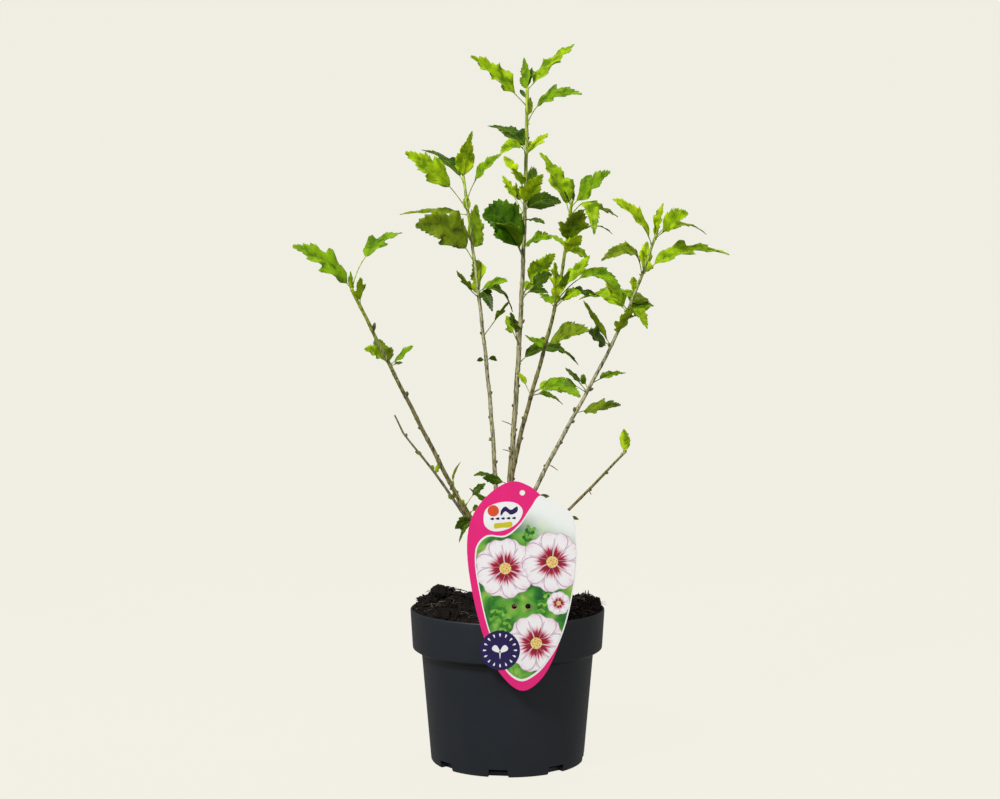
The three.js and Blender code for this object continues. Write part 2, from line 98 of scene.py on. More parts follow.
# Each shoot's leaves are rows as in the source, with their tone, which is a row of LEAF_TONES.
# Its dress adds extra leaves that have no solid, dormant buds (units up the shoot, side, length, radius)
# and pruned spurs (units up the shoot, and where the spur starts and ends beside it).
# The pale tone is painted light on leaves that face away from the key light, and the dark tone painted
# shade.
PALE_LIT, LIME, FRESH, GREEN, DEEP, DARK_SHADED, OLIVE = range(7)
SHOOTS = {
    "far_left": dict(
        foot=(-14, -5), tip=(-142.3, -95, 456.3), bow=-1.5, swing=0, span=277, bare=190,
        root=2.6, end=1.6, size=0.94,
        leaves=(
            (272, -58, 46, -25, 7, 4, 20, 0.15, GREEN), (276, 49, 58, 28, 9, -8, 18, 0.42, GREEN),
            (260, 2, 28, -24, 1, 0, 9, 0.22, LIME), (202, -24, 18, -30, 4, 0, 9, 0.35, FRESH),
            (204, -16, 27, 30, 1, 0, 13, 0.1, OLIVE), (203, 25, 20, -26, 1, 0, 8, 0.2, GREEN),
            (273, -5, 17, 6, 0, 0, 5, 0.15, LIME), (275, -1, 19, -8, 0, 0, 4, 0.2, GREEN),
            (202, 11, 4, 20, 1, 0, 4, 0.3, DARK_SHADED),
        ),
        buds=(
            (236, 1, 7.5, 1.9), (172, 1, 4.2, 1.9), (140, -1, 3, 1.3), (110, 1, 2.6, 1.2),
            (78, -1, 2.6, 1.2),
        ),
    ),
    "left": dict(
        foot=(-10, 7), tip=(-46.7, 105, 584.3), bow=7, swing=1, span=396, bare=190,
        root=2.6, end=1.5, size=1.04,
        leaves=(
            (384, 9, 48, -12, 0, -2, 18, 0.1, PALE_LIT), (380, -45, 38, 35, 5, 4, 12, 0.15, DARK_SHADED),
            (350.5, -62, 57, -25, 6, 3, 24, 0.34, FRESH), (361, 35, 45, -25, 3, -5, 10, 0.36, GREEN),
            (349.5, -2.5, 18, 5, 0, 0, 9, 0.1, LIME), (347, -72, 3, 35, 3, 0, 7, 0.12, OLIVE),
            (296, -58, 36, -30, 14, 4, 40, 0.2, OLIVE), (311, 3, 48, 35, 0, 0, 20, 0.08, FRESH),
            (266, -5, 35, 40, 0, 3, 20, 0.06, LIME), (267, 29, 10, -38, 4, 0, 9, 0.15, GREEN),
            (265, 34, -17, 34, 14, 3, 8, 0.25, DARK_SHADED), (265, 14, -17, -20, 9, 0, 14, 0.2, DARK_SHADED),
            (262, -21.5, 26, -30, -2.5, 0, 6, 0.35, OLIVE), (223, 26, 35, -25, 0, 0, 5, 0.45, OLIVE),
            (197.5, -9, 1, -14, 2, 0, 5, 0.3, DARK_SHADED), (198, 11, 0, 14, 3, 0, 6, 0.25, DARK_SHADED),
        ),
        extra=((82.6, -21, 3, -6, 3, 0, 4, 0.1, DARK_SHADED), (57, -26, 17, -8, -3, 0, 5, 0.2, DARK_SHADED)),
        buds=(
            (224, -1, 3, 1.3), (164, 1, 3, 1.4), (140, -1, 2.8, 1.3), (118, -1, 4, 1.4), (96, 1, 3, 1.4),
            (76, -1, 2.6, 1.2),
        ),
        spurs=((118, (0, 0, 0), (-5, -1, 2)),),
    ),
    "centre": dict(
        foot=(-5, 1), tip=(19, 10, 652.2), bow=5.2, swing=0, span=475, bare=190,
        root=3.2, end=1.7, size=1,
        leaves=(
            (457, -56, 46, -22, 3, 0, 21, 0.22, FRESH), (473, 48, 50, 25, 2, 0, 15, 0.14, FRESH),
            (471, -3, 37, 16, 0, 0, 10, 0.12, GREEN), (463, -7, 12, 8, 1, 0, 5, 0.2, DARK_SHADED),
            (438, 54, 27, -28, 12, -7, 14, 0.3, GREEN), (445, 4, 23, 10, 0, 0, 7, 0.15, LIME),
            (409, -39, 33, 34, 5, 8, 19, 0.2, DARK_SHADED), (410, -26, -4, -30, 9, 2, 13, 0.2, FRESH),
            (371, -21, 40, 30, 2, 0, 11, 0.5, LIME), (370, -12, 22, -38, 3, 0, 10, 0.3, PALE_LIT),
            (385, -7, 5, 20, 0, 0, 6, 0.2, GREEN), (409, 22, 25, 30, 1, 0, 9, 0.12, LIME),
            (376, 12, 20, 38, 2, 0, 16, 0.12, GREEN), (361, 17, 26, -30, 1, -2, 19, 0.05, PALE_LIT),
            (305, -40, 40, -26, 17, 0, 52, 0.14, DEEP), (347, -22, 43, 18, 1, 0, 11, 0.45, LIME),
            (357, -9, 27, 25, 0, -2, 5, 0.3, DARK_SHADED), (354, 37, 10, 28, 6, 0, 22, 0.08, DARK_SHADED),
            (344, 19, -6, -38, 2, 0, 7, 0.12, DARK_SHADED), (318, 27, 6, -32, 3, 0, 13, 0.05, GREEN),
            (266, 34, 46, 24, 3, -2, 22, 0.33, FRESH), (264, 30, 25, -34, 4, 0, 20, 0.4, DARK_SHADED),
            (218, -8, 34, -30, 0, 0, 9, 0.42, DARK_SHADED), (219, -13, 30, 30, 0, 0, 9, 0.45, FRESH),
            (200, 62, -1, 32, 18, 0, 11, 0.12, DARK_SHADED), (473, 5, 24, 6, 0, 0, 4, 0.2, DARK_SHADED),
        ),
        extra=(
            (79.5, -27, 8, -10, 2, 0, 10, 0.25, DARK_SHADED), (309, -20, 28, -40, 10, -4, 22, 0.12, GREEN),
            (270, 22, 14, 30, 3, 0, 12, 0.2, FRESH), (268, 27, 4, 10, 4, 0, 9, 0.3, DARK_SHADED),
        ),
        buds=(
            (240, 1, 4.4, 1.7), (223, -1, 4.2, 1.4), (176, 1, 3, 1.4), (156, -1, 3, 1.5), (132, 1, 3, 1.4),
            (113, -1, 3.2, 1.5),
        ),
        spurs=((140, (-12, -2, 4), (1, 0, -2)), (112, (0, 0, 0), (-9, 2, 3))),
    ),
    "right_centre": dict(
        foot=(-3, -8), tip=(58.6, -100, 536.2), bow=-3.7, swing=-5.5, span=365, bare=158,
        root=2.8, end=1.4, size=0.94,
        leaves=(
            (348, -30, 67, 22, 0, 5, 22, 0.22, FRESH), (358, 37, 32, -30, 3, 0, 18, 0.14, GREEN),
            (349, 22, -20, -40, 22, 6, 14, 0.35, FRESH), (350, 50, 1, 35, 8, 0, 8, 0.45, OLIVE),
            (319, 13, 36, -42, 2, 0, 32, 0.2, OLIVE), (313, 15, 18, -34, 0, 0, 14, 0.2, PALE_LIT),
            (321, 49, 15, 40, 14, 0, 4, 0.45, OLIVE), (319, -15, 16, 35, 2, 0, 4, 0.2, GREEN),
            (264, -1, 43, -34, 0, 0, 12, 0.1, LIME), (262, 30, 20, 42, 3, 0, 13, 0.5, DARK_SHADED),
            (269, 13, 30, -20, 1, 0, 10, 0.2, GREEN), (273, 34, 43, 30, 0, 0, 14, 0.35, FRESH),
            (268, 66, 2, -28, 27, 4, 11, 0.3, GREEN), (233, -23, 3, -25, -6, 0, 10, 0.15, GREEN),
            (225, 43, 15, -38, 4, 0, 17, 0.12, OLIVE), (175, -12, 24, 15, 1, 0, 7, 0.45, LIME),
            (177, 49, -2, -30, 10, 0, 16, 0.2, GREEN), (175, 34, -10, 32, 6, 0, 6, 0.25, GREEN),
            (358, -8, 17, -4, 0, 0, 3, 0.2, DARK_SHADED), (359, 3, 16, 6, 0, 0, 3, 0.2, DARK_SHADED),
        ),
        extra=(
            (268, 24, 8, -30, 3, 0, 12, 0.25, FRESH), (266, 46, 8, 24, 8, 0, 9, 0.35, DARK_SHADED),
            (262, -14, 16, 26, 2, 0, 10, 0.2, GREEN), (316, 24, -4, 22, 3, 0, 12, 0.2, FRESH),
            (178, 34, 3, 24, 5, 0, 12, 0.25, FRESH),
        ),
        buds=((150, -1, 3, 1.3), (130, 1, 3, 1.4), (108, -1, 3, 1.3), (88, 1, 2.8, 1.2)),
    ),
    "right": dict(
        foot=(-7, 12), tip=(152.9, 88, 520.3), bow=5.5, swing=-4, span=335, bare=133,
        root=2.5, end=1.4, size=1.04,
        leaves=(
            (318, -42, 45, -25, 4, 5, 16, 0.15, LIME), (325, 3, 30, 10, 0, 0, 8, 0.12, LIME),
            (329, 7, 32, -8, 0, 0, 8, 0.15, LIME), (326, 29, 22, -42, 4, 0, 18, 0.25, FRESH),
            (324, 57, 8, 36, 13, 0, 8, 0.15, OLIVE), (287, -42, 14, -25, 17, 9, 13, 0.2, OLIVE),
            (290, 7, 33, 28, 0, 0, 17, 0.06, PALE_LIT), (289, 90, 20, 20, 13, -3, 15, 0.16, FRESH),
            (251, -25, 33, -26, 1, 0, 12, 0.2, PALE_LIT), (249, -46, 14, 36, 10, 4, 14, 0.12, FRESH),
            (250, 17, -17, -38, 8, 0, 9, 0.1, FRESH), (257, 19, 8, 42, 4, 0, 20, 0.1, OLIVE),
            (266, 1, 20, 14, 1, 0, 10, 0.15, LIME), (227, 10, 26, -38, 1, 2, 16, 0.08, LIME),
            (215, -26, 46, 30, 0, 0, 5, 0.15, OLIVE), (215, -24, 13, -42, 2, -2, 16, 0.2, DARK_SHADED),
            (177, 36, 10, 30, 3, 0, 7, 0.25, GREEN), (169, -20, 23, 38, 1, 0, 4, 0.35, DARK_SHADED),
            (168, -29, 14, -20, 2, 0, 6, 0.35, DARK_SHADED), (148, 42, 9, -36, 1, 0, 12, 0.2, OLIVE),
            (171, -6, 14, 20, 1, 0, 8, 0.35, GREEN),
        ),
        extra=(
            (66, 17, 0, -6, 0, 0, 5, 0.4, DARK_SHADED), (251, 28, 6, 24, 3, 0, 14, 0.15, GREEN),
            (262, -12, 12, 30, 2, 0, 10, 0.15, FRESH),
        ),
        buds=(
            (213, -1, 4, 1.5), (170, 1, 5, 1.6), (148, -1, 4.2, 2.3), (138, 1, 3.6, 1.6), (117, 1, 3, 1.3),
            (92, -1, 3, 1.3),
        ),
        spurs=((97, (0, 0, 0), (10, -2, -6)),),
    ),
    "low_right": dict(
        foot=(6, -3), tip=(109.5, -70, 305.3), bow=1.4, swing=0, span=108, bare=94,
        root=1.8, end=1.2, size=0.95, greening=3,
        leaves=((107, -1, 25, -6, 0, 0, 11, 0.05, PALE_LIT), (104, 6, 5, 5, 1, 0, 4, 0.3, DARK_SHADED)),
        extra=((48, 16, -4, -3, 1, 0, 4, 0.5, DARK_SHADED),),
        buds=((72, 1, 2.6, 1), (50, -1, 2.8, 1.1), (88, 1, 2.8, 1.1)),
        spurs=((72, (0, 0, 0), (3, -1, -4)),),
    ),
    "low_left": dict(
        foot=(-8, -9), tip=(-43, -44, 257.5), bow=0, swing=0, span=66, bare=26,
        root=1.5, end=1.0, size=0.98,
        leaves=(
            (46, -14, -20, -20, 5, 0, 3, 0.3, DARK_SHADED), (43, -20, -4, -14, 4, 0, 15, 0.15, DARK_SHADED),
            (52, 9, 8, -12, 2, 0, 7, 0.3, DARK_SHADED), (60, 20, 22, 6, 3, 0, 8, 0.35, DARK_SHADED),
            (63, -3, 41, 4, 0, -9, 1.2, 0.4, OLIVE),
        ),
        buds=((16, -1, 2.4, 0.9),),
    ),
}
BROWN_SHOOTS = ("right_centre", "far_left", "low_right")
TWIG = dict(
    foot=(-12, 3), tip=(-114.9, 75, 327.3), bow=4, swing=0, span=146, root=2.2, end=0.9, size=1,
    leaves=(
        (90, 6, 11, -6, 1, 0, 8, 0.05, LIME), (108, -8, 4, 5, 1, 0, 5, 0.1, LIME),
        (92, -4, 6, 5, 1, 0, 5, 0.1, OLIVE), (64, 4, 10, -6, 1, 0, 8, 0.1, LIME),
        (63, -7, 5, 5, 1, 0, 6, 0.1, FRESH), (60, 5, 3, 8, 0, 0, 4, 0.2, DARK_SHADED),
    ),
    buds=(
        (44, 1, 3.4, 1.3), (66, -1, 3.4, 1.3), (90, 1, 3.4, 1.3), (112, -1, 3.4, 1.3), (128, 1, 3.4, 1.3),
    ),
)
# How far the twig stands off its line: place along it, then to the right and up.
TWIG_KINKS = ((-0.1, 0, 0), (0.55, 0, 0), (0.9, -2, 0), (1, 0, 4.5))


# ---- rules shared with the source ----
def draws(seed):
    """Numbers from 0 to 1 that are the same on every run and in the source."""
    state = seed

    def draw():
        nonlocal state
        state = (state * 1664525 + 1013904223) % 4294967296
        return state / 4294967296

    return draw


def shoot_point(shoot, t):
    """A place on the shoot's line, from its foot at 0 to its tip at 1."""
    fx, fy = shoot["foot"]
    tx, ty, tz = shoot["tip"]
    fz = TRUNK["top"] - 8
    return Vector((
        fx + (tx - fx) * t + shoot["bow"] * 4 * t * (1 - t) + shoot["swing"] * sin(TURN * t),
        fy + (ty - fy) * max(t, 0) ** 1.2,
        fz + (tz - fz) * t,
    ))


def shoot_radius(shoot, t):
    return shoot["root"] + (shoot["end"] - shoot["root"]) * t


def frame_at(along, roll, sense):
    """A blade's sideways and upward directions where its midrib runs along a direction."""
    side = along.cross(UP)
    if side.length < 0.05:
        side = Vector((1, 0, 0))
    side.normalize()
    face = side.cross(along).normalized()
    turn = Quaternion(along, sense * roll)
    return turn @ side, turn @ face


def roll_for(run, wide, shown, sense):
    """The roll that shows a blade of some width as wide as the picture does."""
    along = run.normalized()
    seen = Vector((along.x, 0, along.z)).normalized()

    def miss(roll):
        side, _ = frame_at(along, roll, sense)
        return abs(wide * abs(side.x * seen.z - side.z * seen.x) - shown)

    return min((radians(step * 5) for step in range(17)), key=miss)


# ---- shape helpers ----
def circle(count):
    """The cosine and sine of each step round a circle."""
    return [(cos(TURN * i / count), sin(TURN * i / count)) for i in range(count)]


def bezier(a, b, c, s):
    return a * (1 - s) ** 2 + b * 2 * s * (1 - s) + c * s ** 2


def bezier_along(a, b, c, s):
    return ((b - a) * 2 * (1 - s) + (c - b) * 2 * s).normalized()


def smoothstep(x, a, b):
    t = min(max((x - a) / (b - a), 0), 1)
    return t * t * (3 - 2 * t)


def between(rows, t):
    """The rows before and after t in a table that starts with places, and the share of the way."""
    for before, after in zip(rows, rows[1:]):
        if t <= after[0]:
            break
    return before, after, (t - before[0]) / (after[0] - before[0])


def add_object(name, data):
    made = bpy.data.objects.new(name, data)
    scene.collection.objects.link(made)
    return made


def mesh_from(bm, name):
    mesh = bpy.data.meshes.new(name)
    bm.to_mesh(mesh)
    bm.free()
    return mesh


def worked_out(obj):
    """A mesh of what the object's curve or modifiers make."""
    bpy.context.view_layer.update()
    graph = bpy.context.evaluated_depsgraph_get()
    return bpy.data.meshes.new_from_object(obj.evaluated_get(graph))


def dress(piece, node):
    """The piece rides on the one body and stands for a CAD node, which it hides."""
    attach(piece, "root")
    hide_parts(node)


class Sheaf:
    """Collects many small meshes into one piece, with a material number on every face."""

    def __init__(self):
        self.points, self.faces, self.slots = [], [], []

    def add(self, points, faces, slot=0):
        base = len(self.points)
        self.points.extend(points)
        self.faces.extend(tuple(base + i for i in f) for f in faces)
        self.slots.extend(slot if isinstance(slot, list) else [slot] * len(faces))

    def piece(self, name, materials, smooth=True):
        mesh = bpy.data.meshes.new(name)
        mesh.from_pydata([tuple(c * MM for c in p) for p in self.points], [], self.faces)
        for m in materials:
            mesh.materials.append(m)
        mesh.polygons.foreach_set("material_index", self.slots)
        mesh.polygons.foreach_set("use_smooth", [smooth] * len(self.faces))
        mesh.update()
        return add_object(name, mesh)


def tube_faces(rings, sides):
    """The faces of a closed tube, ring by ring, and of its two ends."""
    faces = []
    for r in range(rings - 1):
        for i in range(sides):
            a, b = r * sides + i, r * sides + (i + 1) % sides
            faces.append((a, b, b + sides, a + sides))
    ends = [tuple(reversed(range(sides))), tuple((rings - 1) * sides + i for i in range(sides))]
    return faces + ends


def tube(sheaf, centres, radius_at, sides, towards, slots):
    """A tube along a path; its radius is told by the number of the ring and of the side."""
    points, side, last = [], None, len(centres) - 1
    for k, centre in enumerate(centres):
        ahead = (centres[min(k + 1, last)] - centres[max(k - 1, 0)]).normalized()
        if side is None:
            side = ahead.cross(Vector(towards)).normalized()
        side = (side - ahead * side.dot(ahead)).normalized()
        other = ahead.cross(side)
        for i, (c, s) in enumerate(circle(sides)):
            r = radius_at(k, i)
            points.append(centre + side * r * c + other * r * s)
    sheaf.add(points, tube_faces(len(centres), sides), slots)


def sweep(sheaf, centres, radii, sides, slot=0):
    """A plain tapering tube along a path of points."""
    tube(sheaf, centres, lambda k, i: radii[k], sides, (0.3, 0.9, 0.31), slot)


# ---- materials ----
def srgb(r, g, b):
    def one(c):
        c /= 255
        return c / 12.92 if c <= 0.04045 else ((c + 0.055) / 1.055) ** 2.4

    return (one(r), one(g), one(b), 1)


def shade(colour, factor):
    return tuple(min(c * factor, 1) for c in colour[:3]) + (1,)


def mixed(colour, other, share):
    return tuple((1 - share) * a + share * b for a, b in zip(colour, other))


class Skin:
    """A material with a principled shader, and the nodes that are wired into it."""

    def __init__(self, name):
        self.material = bpy.data.materials.new(name)
        self.material.use_nodes = True
        self.tree = self.material.node_tree
        self.inputs = self.tree.nodes["Principled BSDF"].inputs
        self.place = self.node("TexCoord").outputs["Object"]

    def node(self, kind, wires=None, values=None, **settings):
        """A node with what is wired into its sockets, their constant values and its own settings."""
        node = self.tree.nodes.new("ShaderNode" + kind)
        for key, setting in settings.items():
            setattr(node, key, setting)
        for socket, source in (wires or {}).items():
            self.tree.links.new(source, node.inputs[socket])
        for socket, value in (values or {}).items():
            node.inputs[socket].default_value = value
        return node

    def wire(self, socket, source):
        self.tree.links.new(source, self.inputs[socket])

    def hold(self, values):
        for socket, value in values.items():
            self.inputs[socket].default_value = value

    def noise(self, scale, detail=4, rough=0.55, coords=None, distortion=0):
        values = {"Scale": scale, "Detail": detail, "Roughness": rough, "Distortion": distortion}
        return self.node("TexNoise", {"Vector": coords or self.place}, values).outputs["Fac"]

    def stretched(self, height):
        """The object's coordinates with another scale along its height."""
        return self.node("Mapping", {"Vector": self.place}, {"Scale": (1, 1, height)}).outputs["Vector"]

    def ramp(self, source, *stops):
        node = self.node("ValToRGB", {"Fac": source})
        elements = node.color_ramp.elements
        while len(elements) < len(stops):
            elements.new(0.5)
        for element, (place, colour) in zip(elements, stops):
            element.position = place
            element.color = colour
        return node.outputs["Color"]

    def paint(self, source, *stops):
        self.wire("Base Color", self.ramp(source, *stops))

    def bump(self, source, strength, distance):
        node = self.node("Bump", {"Height": source}, {"Strength": strength, "Distance": distance})
        earlier = self.inputs["Normal"].links
        if earlier:
            self.tree.links.new(earlier[0].from_socket, node.inputs["Normal"])
        self.wire("Normal", node.outputs["Normal"])

    def roughen(self, source, low, high):
        node = self.node("MapRange", {"Value": source}, {"To Min": low, "To Max": high})
        self.wire("Roughness", node.outputs["Result"])


def leaf_material(name, colour, rough, spread=0.16):
    """A leaf skin: mottled colour, fine net of veins in the bump, uneven gloss and a little glow."""
    skin = Skin(name)
    deep = (colour[0] * (1 - 3.6 * spread), colour[1] * (1 - 3 * spread), colour[2] * 0.5, 1)
    mottle = skin.noise(105, 3, 0.5, distortion=0.5)
    skin.paint(mottle, (0.36, deep), (0.5, colour), (0.63, shade(colour, 1 + 2 * spread)))
    net = skin.node("TexVoronoi", {"Vector": skin.place}, {"Scale": 620}, feature="DISTANCE_TO_EDGE")
    skin.bump(net.outputs["Distance"], 0.12, 0.00005)
    skin.bump(skin.noise(150, 1), 0.3, 0.0004)
    skin.roughen(skin.noise(140, 3), rough - 0.08, rough + 0.1)
    skin.hold({"Subsurface Weight": 0.2, "Subsurface Radius": (0.8, 1.0, 0.1)})
    skin.hold({"Subsurface Scale": 0.0016, "Specular IOR Level": 0.14})
    return skin.material


# The tones' names, colours and roughness. The pale tone is painted light, a brighter green for leaves
# that face away from the key light; the dark tone is painted shade for leaves that sit in shade.
LEAF_TONES = (
    ("pale_lit", srgb(188, 220, 22), 0.5), ("lime", srgb(156, 184, 12), 0.5),
    ("fresh", srgb(134, 166, 10), 0.48), ("green", srgb(105, 141, 8), 0.46),
    ("deep", srgb(61, 103, 5), 0.36), ("dark", srgb(53, 80, 7), 0.4), ("olive", srgb(105, 125, 18), 0.5),
)
BACK, VEIN = srgb(112, 130, 24), srgb(172, 192, 40)
LEAF_MATERIALS = [leaf_material(f"leaf_{n}", c, r) for n, c, r in LEAF_TONES]
LEAF_MATERIALS += [leaf_material(f"leaf_back_{n}", mixed(c, BACK, 0.2), 0.62) for n, c, _ in LEAF_TONES]
LEAF_MATERIALS += [leaf_material(f"vein_{n}", mixed(c, VEIN, 0.3), 0.55, 0.08) for n, c, _ in LEAF_TONES]


def stem_material(name, colour, streak, rough=0.42):
    """Bark or green skin, with a grain that runs up the stem."""
    skin = Skin(name)
    colour, streak = srgb(*colour), srgb(*streak)
    grain = skin.noise(620, 5, 0.65, skin.stretched(0.16))
    skin.paint(grain, (0.4, streak), (0.52, colour), (0.66, shade(colour, 1.35)))
    skin.bump(grain, 0.55, 0.0006)
    skin.roughen(skin.noise(240, 3), rough - 0.1, rough + 0.12)
    return skin.material


STEM_TONES = [
    stem_material("bark_beige", (162, 158, 116), (60, 57, 32)),
    stem_material("bark_grey_olive", (158, 156, 108), (62, 60, 30)),
    stem_material("bark_olive", (154, 160, 88), (72, 76, 26)),
    stem_material("stem_green", (152, 166, 60), (80, 96, 16)),
    stem_material("stem_lime", (162, 184, 44), (96, 122, 12)),
]
BROWN_TONES = [
    stem_material("bark_brown", (144, 138, 92), (62, 56, 28)),
    stem_material("bark_brown_olive", (140, 136, 76), (62, 58, 22)),
] + STEM_TONES[2:]
bud_material = stem_material("bud_brown", (96, 92, 44), (58, 52, 22), 0.55)
dead_material = stem_material("dead_wood", (104, 100, 64), (56, 52, 28), 0.7)
trunk_material = stem_material("trunk_bark", (118, 104, 76), (66, 54, 36), 0.72)
BUD_SLOT = len(STEM_TONES)


# ---- leaves ----
# Half a blade's outline as (place on the midrib, share of the half width, how far it runs ahead).
LOBED = (
    (0, 0.06, 0), (0.04, 0.26, 0), (0.09, 0.46, 0), (0.14, 0.62, 0.01), (0.18, 0.76, 0.03),
    (0.21, 0.73, 0.01), (0.25, 0.9, 0.05), (0.28, 0.86, 0.03), (0.33, 1, 0.09), (0.36, 0.94, 0.08),
    (0.4, 0.93, 0.1), (0.43, 0.78, 0.06), (0.47, 0.68, 0.02), (0.51, 0.66, 0.01), (0.54, 0.74, 0.05),
    (0.57, 0.66, 0.02), (0.62, 0.7, 0.06), (0.65, 0.58, 0.02), (0.7, 0.58, 0.06), (0.73, 0.46, 0.02),
    (0.79, 0.45, 0.06), (0.82, 0.33, 0.02), (0.88, 0.3, 0.05), (0.91, 0.18, 0.02), (0.96, 0.13, 0.03),
    (1, 0.015, 0),
)
PLAIN = (
    (0, 0.08, 0), (0.08, 0.3, 0), (0.17, 0.54, 0), (0.26, 0.72, 0), (0.33, 0.84, 0.03), (0.38, 0.8, 0.01),
    (0.47, 0.95, 0.05), (0.52, 0.84, 0.01), (0.62, 0.86, 0.05), (0.67, 0.68, 0.01), (0.76, 0.64, 0.05),
    (0.81, 0.44, 0.01), (0.9, 0.28, 0.02), (1, 0.02, 0),
)
# Side veins: where each one leaves the midrib and where it ends, the steps along it, and its width.
LOBED_VEINS = (((0.36, 0.59), (0.5, 0.7), (0.62, 0.79)), (0.02, 0.35, 0.7, 1), 0.17)
PLAIN_VEINS = (((0.12, 0.34), (0.3, 0.5), (0.48, 0.65)), (0.02, 0.5, 1), 0.15)
VEIN_STEP = ((0, 1, 5, 4), (2, 6, 7, 3), (0, 4, 6, 2), (1, 3, 7, 5))
# The blade's columns from the midrib to the margin, and half its thickness.
ACROSS = (0, 0.22, 0.46, 0.72, 1)
SKIN = 0.16


def leaf(sheaf, twigs, shoot, row, seed, twig_slot):
    """One leaf on the source's curve and roll, with teeth, veins, a waved margin and a drooping tip."""
    at, right, up, back, arch, sway, shown, stalk, tone = row
    chance = draws(seed)
    unit = UNIT * shoot["size"]
    node = shoot_point(shoot, at / shoot["span"])
    run = Vector((right, back, up)) * unit
    middle = node + run * 0.5 + (UP * arch + RIGHT * sway) * 2 * unit
    tip = node + run
    long = run.length
    blade_long = long * (1 - stalk)
    lobed = long > LOBED_FROM
    outline = LOBED if lobed else PLAIN
    full = LEAF["fullness"] * blade_long * (0.55 if long < LEAF["small"] else 1)
    wide = max(shown * unit, min(full, 1.8 * shown * unit + 0.06 * blade_long))
    fold = tan(radians(LEAF["fold"] + 14 * (chance() - 0.5)))
    skew = 1 + 0.16 * (chance() - 0.5)
    sense = -1 if run.x < 0 else 1
    roll = roll_for(run, wide, shown * unit, sense)
    twist = radians(26 * (chance() - 0.5))
    wave = 0.05 + 0.09 * chance()
    waves = 2.2 + 1.6 * chance()
    phase = chance()
    edge_curl = 0.1 + 0.28 * chance()
    jag = [[1 + 0.16 * (chance() - 0.5) for _ in outline] for _ in range(2)]

    def spot(u, side_sign, c, half, ahead):
        """A point of the blade, and the direction it faces there."""
        s = stalk + (1 - stalk) * u
        along = bezier_along(node, middle, tip, s)
        side, face = frame_at(along, roll + twist * (u - 0.4), sense)
        h = half * c * (skew if side_sign < 0 else 1 / skew)
        ripple = sin(TURN * (waves * u + phase + (0.5 if side_sign > 0 else 0)))
        lift = h * fold - half * edge_curl * c * c * 0.8 + half * wave * 1.6 * c * c * ripple
        quilt = 0.028 * half * sin(pi * min(1, c * 1.1)) * sin(TURN * u * 6.5)
        point = bezier(node, middle, tip, s) + along * ahead * blade_long * c ** 1.6
        return point + side * side_sign * h + face * (lift + quilt), face

    top, under = [], []
    for k, (u, share, ahead) in enumerate(outline):
        for column in range(1 - len(ACROSS), len(ACROSS)):
            c = ACROSS[abs(column)]
            j = jag[0 if column < 0 else 1][k]
            half = max(wide / 2 * share * j, 0.12)
            point, face = spot(u, -1 if column < 0 else 1, c, half, ahead * j)
            skin = SKIN * (1.0 - 0.6 * c)
            top.append(point + face * skin)
            under.append(point - face * skin)
    width, n = len(ACROSS) * 2 - 1, len(top)
    faces, slots = [], []
    for r in range(0, n - width, width):
        for a in range(r, r + width - 1):
            faces.append((a, a + 1, a + 1 + width, a + width))
            faces.append((n + a, n + a + width, n + a + 1 + width, n + a + 1))
            slots += [tone, tone + len(LEAF_TONES)]
        rim = (r, r + width, n + r + width, n + r)
        faces += [rim, tuple(i + width - 1 for i in reversed(rim))]
        slots += [tone, tone]
    last = n - width
    for i in range(width - 1):
        faces.append((i, n + i, n + i + 1, i + 1))
        faces.append((last + i, last + i + 1, n + last + i + 1, n + last + i))
        slots += [tone, tone]
    sheaf.add(top + under, faces, slots)

    def vein(path, first, last):
        """A bar on both sides of the blade, along places given as in spot() and widths at its ends."""
        spots = []
        for u, side_sign, c in path:
            (_, s0, a0), (_, s1, a1), f = between(outline, u)
            spots.append(spot(u, side_sign, c, wide / 2 * (s0 + (s1 - s0) * f), a0 + (a1 - a0) * f))
        points = []
        for k, (point, face) in enumerate(spots):
            half_wide = first + (last - first) * k / (len(path) - 1)
            direction = spots[min(k + 1, len(path) - 1)][0] - spots[max(k - 1, 0)][0]
            across = face.cross(direction).normalized()
            for level in (SKIN + 0.1, -SKIN - 0.16):
                points += [point + across * w + face * level for w in (half_wide, -half_wide)]
        end = 4 * len(path) - 4
        bars = [tuple(a + i for i in quad) for a in range(0, end, 4) for quad in VEIN_STEP]
        bars += [(0, 2, 3, 1), (end, end + 1, end + 3, end + 2)]
        sheaf.add(points, bars, tone + 2 * len(LEAF_TONES))

    bold = min(1, blade_long / 45)
    vein([(u / 12, 1, 0.0) for u in range(13)], 0.42 * bold + 0.12, 0.08)
    lines, steps, thick = LOBED_VEINS if lobed else PLAIN_VEINS
    for side_sign in (-1, 1):
        if lobed:
            places = [(0.02 + 0.34 * f, side_sign, 0.94 * f ** 1.15) for f in (0, 0.2, 0.4, 0.6, 0.8, 1)]
            vein(places, 0.3 * bold, 0.07)
        for root, end in lines:
            vein([(root + (end - root) * f, side_sign, 0.9 * f) for f in steps], thick * bold, 0.05)

    centres = [bezier(node, middle, tip, stalk * f) for f in (0, 0.25, 0.5, 0.75, 1, 1.12)]
    thin = 0.5 if long > STOUT_FROM else 0.38
    sweep(twigs, centres, [thin * f for f in (1.7, 1.1, 1, 1, 1.1, 0.5)], 7, twig_slot)


# ---- stems ----
def kinked(t, kinks):
    """How far a stem stands off its smooth line at t."""
    if not kinks or t > kinks[-1][0]:
        return Vector()
    (_, x0, z0), (_, x1, z1), f = between(kinks, t)
    return Vector((x0 + (x1 - x0) * f, 0, z0 + (z1 - z0) * f))


